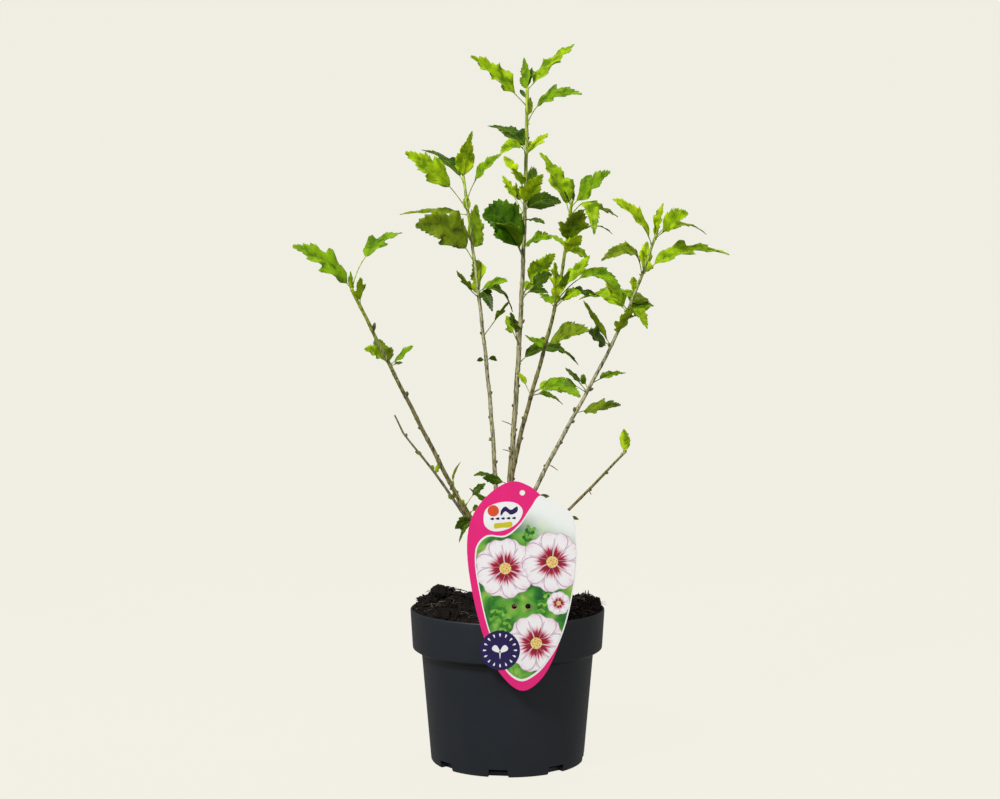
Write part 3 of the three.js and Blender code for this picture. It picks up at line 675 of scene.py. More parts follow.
def stem(sheaf, shoot, t0, t1, seed, node_every=NODE_EVERY, sides=14, tone=None, kinks=()):
    """A stem with swollen nodes, ribs and slight kinks; without a tone it greens with height."""
    chance = draws(seed)
    tall = shoot["span"] * UNIT
    steps = max(6, int((t1 - t0) * tall / STEM_STEP))
    ribs = [chance() for _ in range(sides)]
    centres, radii, slots = [], [], []
    for k in range(steps + 1):
        t = t0 + (t1 - t0) * k / steps
        climb = t * tall
        off = abs((climb / node_every) % 1 - 0.5)
        swell = 1 + 0.2 * max(0, off * 2 - 0.8) / 0.2 * (1 if tone is None else 0.8)
        zig = (1 if int(climb / node_every) % 2 else -1) * (0.28 - 0.56 * off)
        centres.append(shoot_point(shoot, t) + Vector((zig * 0.9, zig * 0.5, 0)) + kinked(t, kinks))
        uneven = 1 + 0.05 * noise.noise(Vector((climb * 0.13, seed, 0)))
        radii.append(BOUGH_SLIM * shoot_radius(shoot, t) * swell * uneven)

    def ribbed(k, i):
        knobs = 0.04 * noise.noise(Vector((k * 0.25, i * 1.7, seed)))
        return radii[k] * (1 + 0.045 * (ribs[i] - 0.5) + knobs)

    for k in range(steps):
        green = shoot.get("greening", GREENING) * max(t0 + (t1 - t0) * k / steps, 0) ** 2.6
        for i in range(sides):
            if tone is None:
                height = green + 0.7 * (chance() - 0.5) + 0.25 * sin(i)
                slots.append(min(max(int(height), 0), len(STEM_TONES) - 1))
            else:
                slots.append(tone)
    slots += [slots[0], slots[-1]]
    tube(sheaf, centres, ribbed, sides, (0.2, 0.95, 0.1), slots)


def bud(sheaf, base, direction, long, radius, slot):
    """A small rounded bud."""
    centres = [base + direction * long * f for f in (-0.15, 0.05, 0.25, 0.5, 0.75, 0.92, 1)]
    sweep(sheaf, centres, [radius * f for f in (0.6, 0.9, 1, 0.95, 0.7, 0.38, 0.06)], 9, slot)


def shoot_across(shoot, t, sign):
    """A direction that leans up from the shoot, to its right (1) or left (-1) as seen from the front."""
    ahead = (shoot_point(shoot, t + 0.01) - shoot_point(shoot, t - 0.01)).normalized()
    return (Vector((ahead.z, 0, -ahead.x)).normalized() * sign + ahead * 1.3).normalized()


for seed, (name, shoot) in enumerate(SHOOTS.items(), 101):
    span, bare = shoot["span"], shoot["bare"]
    boughs, twigs, leaves = Sheaf(), Sheaf(), Sheaf()
    stem(boughs, shoot, -0.01, bare / span, seed)
    for at, sign, long, thick in shoot["buds"]:
        t = at / span
        out = shoot_across(shoot, t, sign)
        base = shoot_point(shoot, t) + out * shoot_radius(shoot, t) * 0.9
        bud(boughs if at < bare else twigs, base, out, long, thick, BUD_SLOT)
    for at, start, end in shoot.get("spurs", ()):
        foot = shoot_point(shoot, at / span)
        a, b = foot + Vector(start), foot + Vector(end)
        sweep(boughs, [a, a.lerp(b, 0.5) + Vector((0, 0, 0.6)), b], [0.35, 0.55, 0.3], 6, BUD_SLOT)
    for k, row in enumerate(shoot.get("extra", ())):
        leaf(leaves, boughs if row[0] < bare else twigs, shoot, row, seed * 100 + 60 + k, 1)
    # The dead twig's few leaves go with those of the shoot beside it.
    for k, row in enumerate(TWIG["leaves"] if name == "left" else ()):
        leaf(leaves, boughs, TWIG, row, 900 + k, 1)
    tones = (BROWN_TONES if name in BROWN_SHOOTS else STEM_TONES) + [bud_material]
    dress(boughs.piece(f"bough_{name}", tones), f"shoot_{name}")
    stem(twigs, shoot, bare / span, 1.0, seed + 50)
    for k, row in enumerate(shoot["leaves"]):
        at, right, up, back = row[:4]
        leaf(leaves, twigs, shoot, row, seed * 100 + k, 3 if at < 0.7 * span else 4)
        out = Vector((right, back, abs(up) + 20)).normalized()
        bud(twigs, shoot_point(shoot, at / span) + out * 0.8, out, 3, 0.85, 3)
    dress(twigs.piece(f"twigs_{name}", tones), f"foliage_{name}")
    dress(leaves.piece(f"leaves_{name}", LEAF_MATERIALS), f"foliage_{name}")

dead = Sheaf()
stem(dead, TWIG, -0.01, 1.0, 160, 26, 9, 0, TWIG_KINKS)
for at, sign, long, thick in TWIG["buds"]:
    t = at / TWIG["span"]
    out = shoot_across(TWIG, t, sign)
    bud(dead, shoot_point(TWIG, t) + kinked(t, TWIG_KINKS) + out * 0.7, out, long, thick, 0)
dress(dead.piece("dead_twig_bark", [dead_material]), "dead_twig")


# ---- trunk ----
# The trunk's radius at its levels, from the soil at 0 to its top at 1.
TRUNK_LEVELS = (
    (0, TRUNK["flare"]), (0.12, 15.2), (0.35, 12.7), (0.62, TRUNK["neck"]), (0.8, TRUNK["head"]),
    (0.93, 12.6), (1, 7.8),
)


def trunk_radius(t, a):
    (_, r0), (_, r1), f = between(TRUNK_LEVELS, t)
    base = r0 + (r1 - r0) * f * f * (3 - 2 * f)
    return base * (1 + (0.13 * (1 - smoothstep(t, 0.15, 0.4)) + 0.03) * cos(5 * a + 0.7))


trunk = Sheaf()
rows, sides = 46, 72
foot, tall = SOIL["level"] + GAP, TRUNK["top"] - SOIL["level"] - GAP
points = []
for k in range(rows + 1):
    t = k / rows
    for i, (c, s) in enumerate(circle(sides)):
        r = trunk_radius(t, TURN * i / sides)
        wear = noise.fractal(Vector((c * 2.6, s * 2.6, t * 2.2)), 1, 2.1, 5)
        ridge = abs(noise.noise(Vector((c * 5, s * 5, t * 1.3))))
        r += 0.55 * wear - 0.9 * ridge
        x, y = TRUNK["x"] + TRUNK["lean_x"] * t + r * c, TRUNK["y"] + r * s
        points.append(Vector((x, y, foot + tall * t)))
trunk.add(points, tube_faces(rows + 1, sides))
dress(trunk.piece("trunk_bark", [trunk_material]), "trunk")


# ---- pot ----
def pot_material():
    """Dark plastic with a fine grain and faint scuffs round it."""
    skin = Skin("anthracite_plastic")
    skin.paint(skin.noise(14, 4, 0.6), (0.3, srgb(23, 29, 37)), (0.7, srgb(30, 36, 44)))
    skin.bump(skin.noise(2600, 3, 0.6), 0.16, 0.0002)
    scuff = skin.noise(60, 6, 0.7, skin.stretched(6))
    skin.roughen(scuff, 0.36, 0.58)
    skin.bump(scuff, 0.05, 0.0006)
    return skin.material


def arc(cx, cz, r, start, end, steps=5):
    """Points of a section round a corner, between two angles."""
    angles = [radians(start + (end - start) * k / steps) for k in range(steps + 1)]
    return [(cx + r * cos(a), cz + r * sin(a)) for a in angles]


def pot_section():
    """The pot's wall as radius and height, from the underside round the rim to the inner floor."""
    h, w, floor = POT["height"], POT["wall"], POT["floor"]
    rim, lip, base, shoulder = POT["rim_radius"], POT["rim_foot"], POT["base_radius"], POT["shoulder"]
    step = h - POT["rim_depth"]
    under = step - POT["step_depth"]
    section = [(0.01, 1.2), (40, 1.2), (60, 1.2), (62, 0), (base - 2.4, 0)]
    section += arc(base - 2.2, 2.2, 2.2, -90, 0)
    section += [(base + (shoulder - base) * f, 2.2 + (under - 2.2) * f) for f in (0.2, 0.4, 0.6, 0.8, 0.97)]
    section += arc(shoulder + 1.4, under - 0.6, 1.4, 180, 110, 3)
    section += [(lip - 2.6, step - 2.4)]
    section += arc(lip - 1.5, step + 0.1, 1.5, -70, 0, 4)
    section += [(lip + (rim - lip) * f, step + (h - 2 - step) * f) for f in (0.15, 0.5, 0.85)]
    section += arc(rim - 1.1, h - 1.1, 1.1, 0, 170, 8)
    section += [(rim - w - 0.9, h - 3), (lip - w, step + 1.5), (shoulder - w, under + 1.5)]
    return section + [(base - w, floor + 1), (0.01, floor)]


def notch_cutter():
    """Eight blocks, narrower at the top, that cut the notches into the foot."""
    bm = bmesh.new()
    high = NOTCH["height"]
    middle = Vector((0, POT["base_radius"] + 3 - NOTCH_REACH / 2, high / 2 - 1.5)) * MM
    size = Vector((NOTCH["width"], NOTCH_REACH, high + 3)) * MM
    for i in range(NOTCH["count"]):
        a = radians(NOTCH["turn"] + 360 / NOTCH["count"] * i)
        place = Matrix.Rotation(a - pi / 2, 4, "Z") @ Matrix.Translation(middle)
        block = bmesh.ops.create_cube(bm, size=1, matrix=place @ Matrix.Diagonal((*size, 1)))
        top = [v for v in block["verts"] if v.co.z > high * 0.5 * MM]
        centre = sum((v.co for v in top), Vector()) / 4
        for v in top:
            v.co = centre + (v.co - centre) * 0.88
            v.co.z = high * MM
    return add_object("notches", mesh_from(bm, "notches"))


shell, section, cutter = Sheaf(), pot_section(), notch_cutter()
ring = circle(POT_SIDES)
shell.add([(r * c, r * s, z) for r, z in section for c, s in ring], tube_faces(len(section), POT_SIDES))
pot = shell.piece("nursery_pot", [pot_material()])
boolean = pot.modifiers.new("notches", "BOOLEAN")
boolean.operation = "DIFFERENCE"
boolean.solver = "EXACT"
boolean.object = cutter
notched = worked_out(pot)
notched.shade_smooth()
notched.set_sharp_from_angle(angle=radians(POT_SHARP_FROM))
pot.modifiers.clear()
pot.data = notched
bpy.data.objects.remove(cutter)
dress(pot, "pot")


# ---- potting soil ----
def soil_height(x, y):
    """The soil's level with its heaps, before the crumbs."""
    r = hypot(x, y)
    edge = smoothstep(r, SOIL["flat_radius"], SOIL["flat_radius"] + 22)
    z = SOIL["level"] - 2.5 * smoothstep(r, 70, 92)
    for heap in HEAPS:
        a = radians(heap["angle"])
        d = hypot(x - heap["radius"] * cos(a), y - heap["radius"] * sin(a))
        z += edge * heap["height"] * exp(-((d / heap["spread"]) ** 2))
    return z


def on_soil(x, y):
    """A place on the lumpy surface; the lumps calm down round the trunk."""
    lumps = noise.fractal(Vector((x * 0.09, y * 0.09, 3.1)), 0.9, 2.2, 5)
    crumbs = noise.noise(Vector((x * 0.55, y * 0.55, 9)))
    clods = abs(noise.noise(Vector((x * 0.16, y * 0.16, 5.5))))
    calm = smoothstep(hypot(x, y), 14, 30)
    return x, y, soil_height(x, y) + (calm * (2.6 * lumps + 1.1 * crumbs + 3.4 * clods) - 1.2)


def soil_material(name, dark, mid, light):
    skin = Skin(name)
    crumb = skin.noise(420, 8, 0.72)
    skin.paint(crumb, (0.34, srgb(*dark)), (0.55, srgb(*mid)), (0.8, srgb(*light)))
    skin.bump(crumb, 0.9, 0.002)
    skin.roughen(skin.noise(160, 3), 0.75, 0.98)
    skin.hold({"Specular IOR Level": 0.25})
    return skin.material


# The straw fibres' pale grey is partly their own colour and partly painted glints of light on the soil.
soil_materials = [
    soil_material("peat", (8, 6, 4), (20, 15, 11), (46, 36, 26)),
    soil_material("peat_fibre", (13, 10, 7), (29, 22, 15), (64, 51, 36)),
    soil_material("straw_and_glint_fibre", (48, 42, 35), (86, 77, 65), (150, 138, 120)),
    soil_material("bark_crumb", (17, 12, 8), (36, 27, 18), (76, 58, 39)),
]
PEAT, FIBRE, STRAW_AND_GLINT, BARK = range(4)
rings, around, edge = 78, 240, SOIL["edge_radius"]
points = [Vector(on_soil(0, 0))]
for k in range(1, rings + 1):
    r = edge * k / rings
    points += [Vector(on_soil(r * c, r * s)) for c, s in circle(around)]
points += [Vector(((edge - 3) * c, (edge - 3) * s, BED_UNDERSIDE)) for c, s in circle(around)]
faces = [(0, 1 + i, 1 + (i + 1) % around) for i in range(around)]
for k in range(rings):
    for i in range(around):
        a, b = 1 + k * around + i, 1 + k * around + (i + 1) % around
        faces.append((a, a + around, b + around, b))
faces.append(tuple(1 + rings * around + i for i in range(around)))
bed = Sheaf()
bed.add(points, faces)
dress(bed.piece("peat_bed", soil_materials), "soil")

chance = draws(77)
crumbs, fibres = Sheaf(), Sheaf()
CRUMB = ((1, 0, 0), (-1, 0, 0), (0, 1, 0), (0, -1, 0), (0, 0, 1), (0, 0, -1))
CRUMB_FACES = ((0, 2, 4), (2, 1, 4), (1, 3, 4), (3, 0, 4), (2, 0, 5), (1, 2, 5), (3, 1, 5), (0, 3, 5))


def soil_place(reach=0.985):
    """A place on the soil, more often where it heaps up."""
    while True:
        x = (chance() * 2 - 1) * edge * reach
        y = (chance() * 2 - 1) * edge * reach
        r = hypot(x, y)
        high = soil_height(x, y) - SOIL["level"]
        if 20 < r < edge * reach and chance() < 0.3 + 0.06 * max(high, 0) + 0.25 * (r > 60):
            return on_soil(x, y)


def strand(start, direction, bend, places):
    """A bowed path from a start along a direction, as long as the direction."""
    return [start + direction * f + bend * 4 * f * (1 - f) for f in places]


def widest(path):
    return max(hypot(p.x, p.y) for p in path)


def lowest(path):
    return min(p.z for p in path)


for _ in range(COUNTS["crumbs"]):
    x, y, z = soil_place(0.97)
    size = 0.7 + 4.2 * chance() ** 4
    stretch = [size * (0.6 + 0.8 * chance()) for _ in range(3)]
    spin = Quaternion((chance() - 0.5, chance() - 0.5, chance() - 0.5, chance() + 0.1)).normalized()
    centre = Vector((x, y, z + 0.25 * size))
    points = [centre + spin @ Vector([a * b for a, b in zip(corner, stretch)]) for corner in CRUMB]
    crumbs.add(points, CRUMB_FACES, BARK if chance() < 0.3 else PEAT)
for _ in range(COUNTS["fibres"]):
    place = Vector(soil_place())
    long, a = 4 + 13 * chance() ** 2, TURN * chance()
    run = Vector((cos(a), sin(a), (chance() - 0.35) * 0.9)).normalized() * long
    bend = Vector((chance() - 0.5, chance() - 0.5, chance() - 0.6)) * long * 0.5
    path = strand(place - run * 0.35, run, bend, (0, 0.33, 0.66, 1))
    wide = widest(path)
    if wide <= FIBRE_LIMIT and (wide <= edge - 0.4 or lowest(path) >= BRIM):
        thick = 0.16 + 0.3 * chance()
        radii = [thick * f for f in (0.7, 1, 0.8, 0.3)]
        sweep(fibres, path, radii, 4, STRAW_AND_GLINT if chance() < 0.22 else FIBRE)


def clod(x, y, lift, radius, seed):
    """A rough lump of peat pressed together."""
    centre = Vector((x, y, soil_height(x, y) + lift))
    points = []
    for k in range(9):
        polar = pi * (k + 0.5) / 9
        for c, s in circle(16):
            way = Vector((sin(polar) * c, sin(polar) * s, 0.8 * cos(polar)))
            coarse = 0.42 * noise.noise(way * 1.6 + Vector((seed, 0, 0)))
            fine = 0.3 * noise.noise(way * 4.5 + Vector((0, seed, 0)))
            points.append(centre + way * radius * (1 + coarse + fine))
    crumbs.add(points, tube_faces(9, 16))


# The larger clods: place, lift over the soil and radius.
CLODS = (
    (-66, 4, 4, 8.5), (-75, 12, -1.5, 5.5), (-48, 8, 0, 5.5), (-76, -4, 0, 5), (-45, -2, 0, 5),
    (-82, 6, 0.5, 4.5), (-58, -16, 0, 6), (-40, -30, 0, 5), (-70, -34, 0, 5), (-30, -52, 0, 4.5),
    (71, 4, -2.6, 5.5), (84, 10, -1, 4.5), (66, -12, 0, 5), (78, -22, 0, 4.5), (56, -36, 0, 5),
    (62, 30, 0, 5), (20, 60, 0, 6), (-20, 66, 0, 5), (40, 50, 0, 5), (-50, 50, 0, 6), (86, -9, 2, 4.6),
    (87, 3, 2.4, 4.2), (82, -20, 1, 4.6),
)
for k, (x, y, lift, radius) in enumerate(CLODS):
    clod(x, y, lift, radius, 3.7 * k)
for _ in range(COUNTS["straws"]):
    x, y, z = soil_place(0.97)
    if hypot(x, y) > 50:
        long, a = 9 + 12 * chance(), TURN * chance()
        run = Vector((cos(a), sin(a), 0.3 * (chance() - 0.4))) * long
        bend = Vector((chance() - 0.5, chance() - 0.5, 0.5 * chance())) * long * 0.5
        path = strand(Vector((x, y, z + 0.6)) - run * 0.5, run, bend, (0, 0.25, 0.5, 0.75, 1))
        thick = 0.35 + 0.4 * chance()
        if widest(path) < edge + 1 and lowest(path) > BRIM:
            radii = [thick * f for f in (0.6, 1, 1, 0.8, 0.3)]
            sweep(fibres, path, radii, 5, STRAW_AND_GLINT if chance() < 0.5 else FIBRE)
# Bristles that stand up where the soil meets the rim at the right, and a few at the left.
for k in range(COUNTS["bristles"]):
    a = radians(-10 + 3 * k if k < 14 else 150 + 4 * k)
    r = 76 + 13 * chance()
    start = Vector((r * cos(a), r * sin(a), 0))
    start.z = soil_height(start.x, start.y) - 1
    direction = Vector((1.6 * chance() - 0.9, 0.4 * chance() - 0.2, 1)).normalized()
    long = 8 + 5 * chance()
    path = [start + direction * long * f - UP * 1.6 * f * f for f in (0, 0.35, 0.7, 1)]
    sweep(fibres, path, [0.6, 0.9, 0.65, 0.14], 5, FIBRE)
for k in range(COUNTS["small_clods"]):
    x, y, _ = soil_place(0.93)
    clod(x, y, -0.6, 2 + 2.6 * chance() ** 2, 90 + 1.9 * k)
dress(crumbs.piece("peat_crumbs", soil_materials, smooth=False), "soil")
dress(fibres.piece("peat_fibres", soil_materials), "soil")


# ---- care label ----
def spline_loop(corners, per=8):
    """A closed smooth loop through the corners."""
    loop = []
    n = len(corners)
    for k in range(n):
        p0, p1, p2, p3 = (Vector(corners[(k + o) % n]) for o in (-1, 0, 1, 2))
        d1, d2, d3 = (max(v.length, 1e-6) ** 0.5 for v in (p1 - p0, p2 - p1, p3 - p2))
        m1 = ((p1 - p0) / d1 - (p2 - p0) / (d1 + d2) + (p2 - p1) / d2) * d2
        m2 = ((p2 - p1) / d2 - (p3 - p1) / (d2 + d3) + (p3 - p2) / d3) * d2
        for t in (j / per for j in range(per)):
            t2, t3 = t * t, t * t * t
            start = p1 * (2 * t3 - 3 * t2 + 1) + m1 * (t3 - 2 * t2 + t)
            loop.append(start + p2 * (3 * t2 - 2 * t3) + m2 * (t3 - t2))
    return loop


def circle_loop(x, z, r, n=24):
    return [Vector((x + r * c, z + r * s)) for c, s in circle(n)]


def flat_mesh(loops, front, thickness, bevel):
    """A flat plate with holes, upright and facing the front; front is how far it stands out of the face."""
    curve = bpy.data.curves.new("outline", "CURVE")
    curve.dimensions = "2D"
    curve.fill_mode = "BOTH"
    curve.extrude = (thickness / 2 - bevel) * MM
    curve.bevel_depth = bevel * MM
    curve.bevel_resolution = 2
    for loop in loops:
        spline = curve.splines.new("POLY")
        spline.points.add(len(loop) - 1)
        for point, p in zip(spline.points, loop):
            point.co = (p[0] * MM, p[1] * MM, 0, 1)
        spline.use_cyclic_u = True
    obj = add_object("outline", curve)
    mesh = worked_out(obj)
    bpy.data.objects.remove(obj)
    stand = LABEL_FACE - front + thickness / 2
    mesh.transform(Matrix.Translation((0, stand * MM, 0)) @ Matrix.Rotation(pi / 2, 4, "X"))
    return mesh


def label_piece(name, material, meshes):
    """Adds one piece of the label, joined from flat meshes of one material."""
    bm = bmesh.new()
    for mesh in meshes:
        bm.from_mesh(mesh)
        bpy.data.meshes.remove(mesh)
    for f in bm.faces:
        f.material_index = 0
    joined = mesh_from(bm, name)
    joined.materials.append(material)
    dress(add_object(name, joined), "label")


def print_gloss(skin, low, high):
    """Uneven gloss under a thin clear coat."""
    skin.roughen(skin.noise(35, 3), low, high)
    skin.hold({"Coat Weight": 0.35, "Coat Roughness": 0.12})
    return skin.material


def print_material(name, colour, second=None, scale=60):
    """A printed colour with a little cloud of a second one."""
    skin = Skin(name)
    colour = srgb(*colour)
    other = srgb(*second) if second else shade(colour, 0.93)
    skin.paint(skin.noise(scale), (0.35, other), (0.65, colour))
    skin.bump(skin.noise(1500, 2), 0.05, 0.0001)
    return print_gloss(skin, 0.24, 0.4)


def field_material():
    """Blurred greenery that pales towards the label's upper right."""
    skin = Skin("print_greenery")
    leaves = skin.ramp(
        skin.noise(55, 3, 0.45, distortion=0.6), (0.3, srgb(20, 84, 42)), (0.46, srgb(46, 128, 40)),
        (0.6, srgb(110, 178, 60)), (0.75, srgb(176, 208, 96)))
    split = skin.node("SeparateXYZ", {"Vector": skin.place}).outputs
    tilt = skin.node("Math", {0: split["X"], 2: split["Z"]}, {1: 0.55}, operation="MULTIPLY_ADD")
    ends = {"From Min": 0.232, "From Max": 0.272}
    fade = skin.node("MapRange", {"Value": tilt.outputs["Value"]}, ends, interpolation_type="SMOOTHSTEP")
    wires = {"Factor": fade.outputs["Result"], "A": leaves}
    mix = skin.node("Mix", wires, {"B": srgb(250, 254, 251)}, data_type="RGBA")
    skin.wire("Base Color", mix.outputs["Result"])
    return print_gloss(skin, 0.25, 0.4)


def ray_material(name, cx, cz, radius):
    """Petals that run from a deep red heart in streaks to white with a blush at the rim."""
    skin = Skin(name)
    centre = {1: (cx * MM, 0, cz * MM)}
    away = skin.node("VectorMath", {0: skin.place}, centre, operation="SUBTRACT").outputs["Vector"]
    flat = skin.node("VectorMath", {0: away}, {1: (1, 0, 1)}, operation="MULTIPLY").outputs["Vector"]
    aim = skin.node("VectorMath", {0: flat}, operation="NORMALIZE").outputs["Vector"]
    far = skin.node("VectorMath", {0: flat}, operation="LENGTH").outputs["Value"]
    share = skin.node("Math", {0: far}, {1: radius * MM}, operation="DIVIDE").outputs["Value"]
    wires = {0: skin.noise(9, 3, 0.6, aim), 2: share}
    frayed = skin.node("Math", wires, {1: -0.62}, operation="MULTIPLY_ADD").outputs["Value"]
    skin.paint(
        frayed, (0.0, srgb(150, 20, 44)), (0.1, srgb(186, 40, 66)), (0.17, srgb(232, 190, 206)),
        (0.3, srgb(254, 251, 253)), (0.55, srgb(252, 248, 251)), (0.72, srgb(244, 220, 232)))
    return print_gloss(skin, 0.26, 0.4)


pink = print_material("print_pink", (244, 32, 128))
white = print_material("print_white", (253, 253, 253))
petal_edge = print_material("print_petal_edge", (206, 180, 196))
petal_line = print_material("print_petal_line", (226, 206, 218))
cream = print_material("print_cream", (246, 232, 160), (226, 190, 84), 700)
indigo = print_material("print_indigo", (34, 22, 84))
orange = print_material("print_orange", (232, 84, 40))
yellow = print_material("print_yellow", (214, 206, 40))
print_leaf = print_material("print_leaf", (62, 150, 40), (24, 92, 36), 150)
print_leaf_light = print_material("print_leaf_light", (150, 200, 70), (90, 160, 50), 150)

WINDOW = (
    (29.4, 264.5), (38, 260), (56.8, 249), (62.6, 214), (55.9, 163), (47, 134), (38.6, 119), (27, 105),
    (13, 98), (1, 105), (-9.5, 125), (-17, 145), (-24, 174), (-28.7, 207), (-26.5, 221), (-18, 229),
    (-2, 229), (11, 239), (20.4, 253),
)
thick = LABEL["thickness"]
holes = [circle_loop(x, z, LABEL["hole_radius"]) for x, z in LABEL["slot_holes"]]
hang = circle_loop(*LABEL["hang_hole"], LABEL["hole_radius"])
bx, bz, br = LABEL["badge"]
window = spline_loop(WINDOW)
middle = Vector((14, 178))
keyline = [middle + (p - middle) * KEYLINE_SCALE for p in window]
# Each flat piece: its name, material and loops, how far it stands out, its thickness and its bevel.
for name, material, *plate in (
    ("label_plate", pink, [spline_loop(SHIELD), *holes, hang], 0, thick, PLATE_BEVEL),
    ("label_disc", indigo, [circle_loop(bx, bz, br, 72)], 0.4, thick + 0.3, PLATE_BEVEL),
    ("label_keyline", white, [keyline, *holes], 0.05, 0.1, 0),
    ("label_picture", field_material(), [window, *holes], 0.09, 0.1, 0),
):
    label_piece(name, material, [flat_mesh(*plate)])


def petal_loop(cx, cz, turn, long, wide, notch=0.06):
    """A broad petal, notched at its tip, from the flower's middle outward."""
    half = [(0, 0.06), (0.2, 0.24), (0.45, 0.42), (0.7, 0.52), (0.88, 0.46), (0.99, 0.26)]
    corners = [*half, (1 - notch, 0.0), *[(along, -across) for along, across in reversed(half)]]
    c, s = cos(turn), sin(turn)
    placed = [(cx + a * long * c - b * wide * s, cz + a * long * s + b * wide * c) for a, b in corners]
    return spline_loop(placed, 4)


def kept_in_window(loop, cx, cz):
    """The loop with every point outside the window pulled in towards a point inside it."""
    kept = []
    for x, z in loop:
        dx, dz = x - cx, z - cz
        reach = 1
        for (ax, az), (ex, ez) in zip(window, window[1:] + window[:1]):
            sx, sz = ex - ax, ez - az
            cross = dx * sz - dz * sx
            if abs(cross) > 1e-9:
                along = ((ax - cx) * sz - (az - cz) * sx) / cross
                across = ((ax - cx) * dz - (az - cz) * dx) / cross
                if along > 0 and 0 <= across <= 1:
                    reach = min(reach, along)
        kept.append(Vector((cx + dx * reach, cz + dz * reach)))
    return kept


prints = {}


def printed(loop, level, material, centre=None):
    """Adds a thin print at a level over the label's face, kept in the window if it has a centre."""
    loop = kept_in_window(loop, *centre) if centre else loop
    prints.setdefault(material, []).append(flat_mesh([loop], level, PRINT_THICKNESS, 0))


def rosette(name, cx, cz, radius, turn, floor, petals=9):
    """A single open flower of many petals round a stippled button."""
    skin = ray_material(f"print_{name}", cx, cz, radius)
    wide = radius * 7.6 / petals
    for k in range(petals):
        a = radians(turn + 360 / petals * k)
        level = floor + 0.02 * (k % 3)
        printed(petal_loop(cx, cz, a, radius * 1.02, wide * 1.08), level, petal_edge, (cx, cz))
        printed(petal_loop(cx, cz, a, radius, wide), level + 0.01, skin, (cx, cz))
        printed(petal_loop(cx, cz, a, radius * 0.82, wide * 0.07, 0), level + 0.015, petal_line, (cx, cz))
    printed(circle_loop(cx, cz, radius * 0.2), floor + 0.06, cream)
    for k in range(9):
        a, r = 2.4 * k, radius * 0.055 * sqrt(k + 0.5)
        dot = circle_loop(cx + r * cos(a), cz + r * sin(a), radius * 0.02, 8)
        printed(dot, floor + 0.07, orange)


def sprig(x, z, turn, long, level):
    """A stalk with paired leaflets; a leaflet that would leave the window is left out."""
    way = radians(turn)
    c, s = cos(way), sin(way)
    printed(petal_loop(x, z, way, long, 1.2, 0), level, print_leaf, (x, z))
    for k, f in enumerate((0.2, 0.42, 0.64, 0.86)):
        for side in (-1, 1):
            a = radians(turn + side * 48)
            leaflet = petal_loop(x + long * f * c, z + long * f * s, a, long * 0.36, long * 0.2, 0)
            if all((p - q).length < 0.01 for p, q in zip(leaflet, kept_in_window(leaflet, x, z))):
                printed(leaflet, level + 0.002, print_leaf_light if k % 2 else print_leaf)


SPRIGS = (
    (-10, 169, 262, 16), (-1, 166, 235, 15), (36, 184, 280, 16), (10, 108, 60, 12), (-6, 108, 40, 12),
    (45, 152, 265, 14), (16, 222, 70, 16), (5, 155, 235, 15), (32, 174, 265, 13),
)
for k, row in enumerate(SPRIGS):
    sprig(*row, 0.11 + 0.005 * k)
rosette("rosette_left", -2, 200, 27, 18, 0.18)
rosette("rosette_right", 41, 206, 27, 4, 0.26)
rosette("rosette_low", 26.5, 131, 26.5, 30, 0.18)
rosette("rosette_small", 47, 168, 10.5, 10, 0.18, 8)

# The cap's patch: a round, a wavy bar, a row of dashes and a short bar.
PATCH = ((-21, 240), (-20, 254), (-8, 260.5), (8, 260), (14, 253), (9, 242), (-2, 235.5), (-14, 234.5))
WAVE = ((-6, 253), (-2, 257), (3, 254), (9, 257), (9, 252.5), (3, 249.5), (-2, 252.5), (-6, 248.5))
BAR = ((-12, 241), (-5, 242), (4, 242.5), (4, 238.5), (-5, 237.5), (-12, 237))
printed(spline_loop(PATCH), 0.06, white)
printed(circle_loop(-13, 253, 5.2, 32), 0.1, orange)
printed(spline_loop(WAVE), 0.1, indigo)
printed(spline_loop(BAR), 0.1, yellow)
for k in range(5):
    printed(petal_loop(-16 + 5 * k, 245.5 + 0.2 * k, 0.04, 3.6, 2.2, 0), 0.1, indigo)

# The badge: a ring of rays round a two-leaved seedling.
BADGE_LEVEL, RAYS, RAY_RADIUS = 0.46, 16, 12.4
for k, (c, s) in enumerate(circle(RAYS)):
    ray = petal_loop(bx + RAY_RADIUS * c, bz + RAY_RADIUS * s, TURN * k / RAYS, 3.2, 1.5, 0)
    printed(ray, BADGE_LEVEL, white)
for turn in (40, 140):
    printed(petal_loop(bx, bz - 2, radians(turn), 8.5, 5.4, 0), BADGE_LEVEL, white)
printed(petal_loop(bx, bz - 8, radians(90), 8, 1.2, 0), BADGE_LEVEL, white)

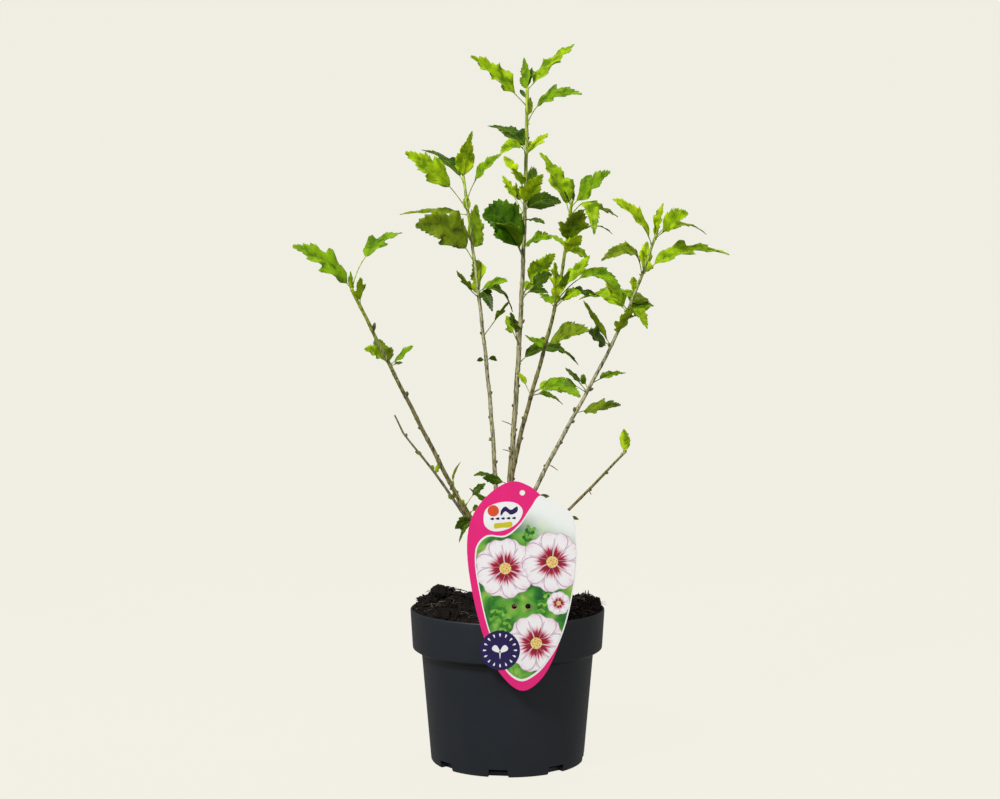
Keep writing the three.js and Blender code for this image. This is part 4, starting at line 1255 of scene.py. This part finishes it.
# The tongue runs over the rim and turns down inside it.
tongue = Sheaf()
span = POT["wall"] + LABEL["reach"]
top = POT["height"] + GAP + thick / 2
face = -POT["rim_radius"] - GAP
path = [
    (face - 0.3, top + 0.1), (face + 1.2, top + 0.25), (face + span - 2.2, top + 0.1),
    (face + span - 1.2, top - 0.6), (face + span - 0.85, top - 1.9),
    (face + span - 0.85, top - LABEL["tongue_drop"] + 0.45),
]
half = LABEL["tongue_width"] / 2
points = []
for y, z in path:
    steep = z < top - 0.3
    for x, rise in ((-half, 0.35), (half, 0.35), (half, -0.35), (-half, -0.35)):
        points.append(Vector((LABEL["tongue_x"] + x, y + rise * steep, z + rise * (not steep))))
tongue.add(points, tube_faces(len(path), 4))
dress(tongue.piece("label_tongue", [pink], smooth=False), "label")
for material, meshes in prints.items():
    label_piece(material.name.replace("print", "label"), material, meshes)


# ---- studio ----
def floor_material():
    """A cream that shines by itself, so that the floor keeps one even tone."""
    skin = Skin("studio_cream")
    tone = srgb(241, 239, 228)
    skin.paint(skin.noise(2, 2), (0.4, shade(tone, 0.022)), (0.6, shade(tone, 0.024)))
    skin.hold({"Roughness": 0.9, "Specular IOR Level": 0})
    skin.hold({"Emission Color": tone, "Emission Strength": 0.982})
    return skin.material


def studio_floor():
    """A wide pale floor that curves up behind the plant."""
    profile = [(-6000, 0), (2200, 0), *arc(2200, 1200, 1200, -80, 0, 8), (3400, 5000)]
    points = [(x, y, z - 0.5) for y, z in profile for x in (-8000, 8000)]
    sheet = Sheaf()
    sheet.add(points, [(2 * k, 2 * k + 1, 2 * k + 3, 2 * k + 2) for k in range(len(profile) - 1)])
    obj = sheet.piece("studio_floor", [floor_material()])
    obj.visible_diffuse = False
    obj.visible_glossy = False
    return obj


studio_floor()


def area_light(name, place, target, size, power, glossy=True):
    light = bpy.data.lights.new(name, "AREA")
    light.energy = power
    light.size = size
    obj = add_object(name, light)
    obj.visible_glossy = glossy
    obj.location = place
    obj.rotation_euler = (Vector(target) - Vector(place)).to_track_quat("-Z", "Y").to_euler()


area_light("key_softbox", (-1.0, -1.5, 1.9), (0, 0, 0.4), 0.5, 54)
area_light("fill_softbox", (1.6, -1.4, 0.9), (0, 0, 0.35), 0.9, 7)
area_light("top_softbox", (0.3, 0.9, 2.1), (0, 0, 0.45), 0.9, 26, glossy=False)
world = bpy.data.worlds.new("studio")
world.use_nodes = True
backdrop = world.node_tree.nodes["Background"].inputs
backdrop["Color"].default_value = srgb(241, 239, 232)
backdrop["Strength"].default_value = 0.3
scene.world = world
scene.view_settings.view_transform = "Standard"

camera = bpy.data.cameras.new("camera")
camera.sensor_width = 36
camera.lens = 59.4
camera_object = add_object("camera", camera)
camera_object.location = (0, -1.6, 0.418)
camera_object.rotation_euler = (radians(90 - 2.4), 0, radians(0.26))
scene.camera = camera_object
